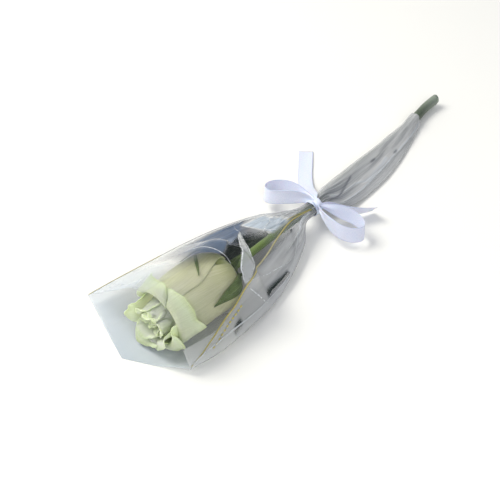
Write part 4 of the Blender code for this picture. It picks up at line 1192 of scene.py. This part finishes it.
# %% Ribbon strips
RIBBON_WIDTH = 12.0
TIE_X = -4.0
NEAR_LOOP = [
    (-4.4, -4.6, 19.6), (-9.6, -13.0, 18.4), (-13.0, -24.0, 16.0), (-12.4, -34.0, 13.6), (-7.0, -42.4, 11.4),
    (1.0, -46.0, 10.6), (6.4, -41.0, 11.6), (7.0, -31.0, 14.0), (3.2, -21.0, 16.4), (-0.8, -12.0, 18.4),
    (-4.0, -4.4, 19.8),
]
FAR_LOOP = [
    (-3.6, -1.0, 20.6), (-1.0, 10.0, 20.0), (-0.2, 22.0, 18.4), (-2.4, 34.0, 16.0), (-8.0, 41.6, 14.0),
    (-14.6, 41.4, 13.6), (-17.4, 34.6, 14.8), (-14.8, 25.0, 17.6), (-9.4, 14.0, 20.4), (-4.6, 4.0, 21.2),
    (-4.4, -1.0, 21.2),
]
TAIL_ONE = [
    (-3.4, -2.0, 19.8), (2.4, 6.6, 18.4), (11.0, 15.2, 11.8), (22.0, 26.0, 3.4), (34.0, 36.4, 1.2),
    (48.0, 46.6, 1.0), (61.6, 56.6, 1.0),
]
TAIL_TWO = [(-3.6, -4.0, 19.4), (4.0, -12.4, 16.4), (14.6, -22.6, 11.0), (24.0, -29.4, 8.0), (32.8, -35.0, 7.0)]


@lru_cache(maxsize=None)
def neck_outline(x):
    """How far the gathered film reaches from the stem's middle at x, in 36 directions."""
    ring_y, ring_z, _ = follow(STEM_ROUTE, x)
    reach = np.zeros(36)
    for share in np.linspace(0.0, 1.0, 73)[:-1]:
        at_film = film_point(x, share)
        turned = math.atan2(at_film.z - ring_z, at_film.y - ring_y) % (2 * math.pi)
        cell = int(turned / (2 * math.pi) * 36) % 36
        for near_by in (cell - 1, cell, (cell + 1) % 36):
            reach[near_by] = max(reach[near_by], math.hypot(at_film.y - ring_y, at_film.z - ring_z))
    return ring_y, ring_z, reach


def off_film(point, clear):
    """Pushes a point out of the gathered film, to a clear distance from it."""
    x, y, z = point
    if abs(x - TIE_X) > 12.0:
        return point
    ring_y, ring_z, reach = neck_outline(round(x * 2.0) / 2.0)
    angle = math.atan2(z - ring_z, y - ring_y) % (2 * math.pi)
    place = angle / (2 * math.pi) * 36 - 0.5
    cell = math.floor(place)
    film_r = reach[cell % 36] + (reach[(cell + 1) % 36] - reach[cell % 36]) * (place - cell)
    away_by = math.hypot(y - ring_y, z - ring_z)
    if away_by >= film_r + clear:
        return point
    grow = (film_r + clear) / max(away_by, 0.1)
    return Vector((x, ring_y + (y - ring_y) * grow, ring_z + (z - ring_z) * grow))


def ribbon_strip(name, route, up, along, closed=False):
    """A ribbon along a route of points, pinched at the knot; up gives its width's direction at both ends."""
    table_of_route = [(i, *p) for i, p in enumerate(route)]

    def place(u, v):
        middle = Vector(follow(table_of_route, (len(route) - 1) * v))
        lean = (Vector(up[0]) * (1.0 - v) + Vector(up[1]) * v).normalized()
        from_knot = min(v, 1.0 - v) if closed else v
        half = 0.5 * RIBBON_WIDTH * (0.3 + 0.7 * soft(from_knot / 0.25))
        pinch = 1.0 - soft(from_knot / 0.22)
        ahead = Vector(follow(table_of_route, min((len(route) - 1) * v + 0.05, len(route) - 1)))
        behind = Vector(follow(table_of_route, max((len(route) - 1) * v - 0.05, 0.0)))
        normal = (ahead - behind).cross(lean).normalized()
        t = 2.0 * u - 1.0
        fold = 0.9 * pinch * math.sin(2.6 * math.pi * u + 0.6) + 0.25 * math.sin(5.0 * v + 2.0 * t)
        return at(*off_film(middle + lean * half * t + normal * fold, 0.6))

    return thicken(shaped_grid(name, 24, along, place), 0.22)


strips = [
    ribbon_strip("loop_near", NEAR_LOOP, ((0.3, 0.2, 0.9), (0.3, 0.2, 0.9)), 110, closed=True),
    ribbon_strip("loop_far", FAR_LOOP, ((0.2, 0.1, 0.9), (0.2, 0.1, 0.9)), 110, closed=True),
    ribbon_strip("tail_one", TAIL_ONE, ((-0.77, 0.63, 0.0), (-0.63, 0.77, 0.0)), 80),
    ribbon_strip("tail_two", TAIL_TWO, ((-0.2, 0.1, 0.9), (-0.3, -0.5, 0.8)), 50),
]
print(len(strips), "ribbon strips")

# %% [markdown]
# The knot is the ribbon crossing over itself: a short wrapped band over the gathered neck, and a second
# turn across it. Both are strips too, rolled round the neck and round the crossing.

# %% Band and knot
def band_place(u, v):
    """The band round the neck, a little puckered, from edge to edge (u) and round (v)."""
    x = TIE_X + (u - 0.5) * 7.6
    ring_y, ring_z, ring_r = follow(STEM_ROUTE, x)
    angle = 2 * math.pi * v
    r = ring_r + 3.35 + 0.45 * math.sin(math.pi * u) + 0.12 * math.sin(7.0 * angle + 9.0 * u)
    return at(x, ring_y + r * math.cos(angle), ring_z + r * math.sin(angle))


KNOT = Vector((-4.0, -3.2, 19.6))


def knot_place(u, v):
    """The turn of ribbon over the crossing: a flattened roll with folds."""
    angle = 2 * math.pi * v
    k = (u - 0.5) * 2.0
    fold = 1.0 + 0.08 * math.sin(6.0 * math.pi * u + 1.0) + 0.05 * math.sin(3.0 * angle)
    wide = math.sqrt(max(0.0, 1.0 - (0.72 * k) ** 2))
    point = KNOT + Vector((3.2 * k + 1.0 * math.cos(angle), 3.8 * math.cos(angle) * wide * fold, 0.0))
    point.z += 0.8 + 2.6 * math.sin(angle) * wide * fold
    return at(*off_film(point, 0.5))


band = thicken(shaped_grid("band", 12, 72, band_place), 0.25)
knot = thicken(shaped_grid("knot", 20, 48, knot_place), 0.3)
strips += [band, knot]
ribbon = join("satin_ribbon", strips)

# %% [markdown]
# Satin is woven so that long smooth threads float on its face, which gives it a soft, stretched shine. The
# real threads are finer than 0.1 mm and would not show, so the weave is drawn at 0.35 mm. The edges are
# woven tighter.

# %% Satin
look, tree, shader = new_look("white_polyester_satin")
uv = add(tree, "ShaderNodeUVMap").outputs["UV"]
split = add(tree, "ShaderNodeSeparateXYZ", {"Vector": uv})
weft = add(tree, "ShaderNodeTexNoise",
           {"Vector": add(tree, "ShaderNodeMapping", {"Vector": uv, "Scale": (8.0, 260.0, 1.0)}).outputs["Vector"],
            "Scale": 1.0, "Detail": 2.0})
edge = add(tree, "ShaderNodeMath", {0: split.outputs["X"], 1: 0.5}, operation="SUBTRACT")
edge = add(tree, "ShaderNodeMath", {0: edge.outputs["Value"]}, operation="ABSOLUTE")
edge = add(tree, "ShaderNodeMapRange", {"Value": edge.outputs["Value"], "From Min": 0.44, "From Max": 0.47})
tint = ramp(tree, weft.outputs["Fac"], [(0.3, "#d6dcf0"), (0.7, "#e6eaf7")])
tinted = add(tree, "ShaderNodeMix", {"Factor": edge.outputs["Result"], "A": tint, "B": hue("#ccd3ea")},
             data_type="RGBA")
tree.links.new(tinted.outputs["Result"], shader.inputs["Base Color"])
tree.links.new(bump(tree, weft.outputs["Fac"], 0.05, 0.5), shader.inputs["Normal"])
shader.inputs["Roughness"].default_value = 0.36
shader.inputs["Anisotropic"].default_value = 0.5
shader.inputs["Sheen Weight"].default_value = 0.3
shader.inputs["Sheen Roughness"].default_value = 0.4
shader.inputs["Subsurface Weight"].default_value = 0.1
shader.inputs["Subsurface Scale"].default_value = 0.001
satin = look
dress(ribbon, satin, "satin", "ribbon")
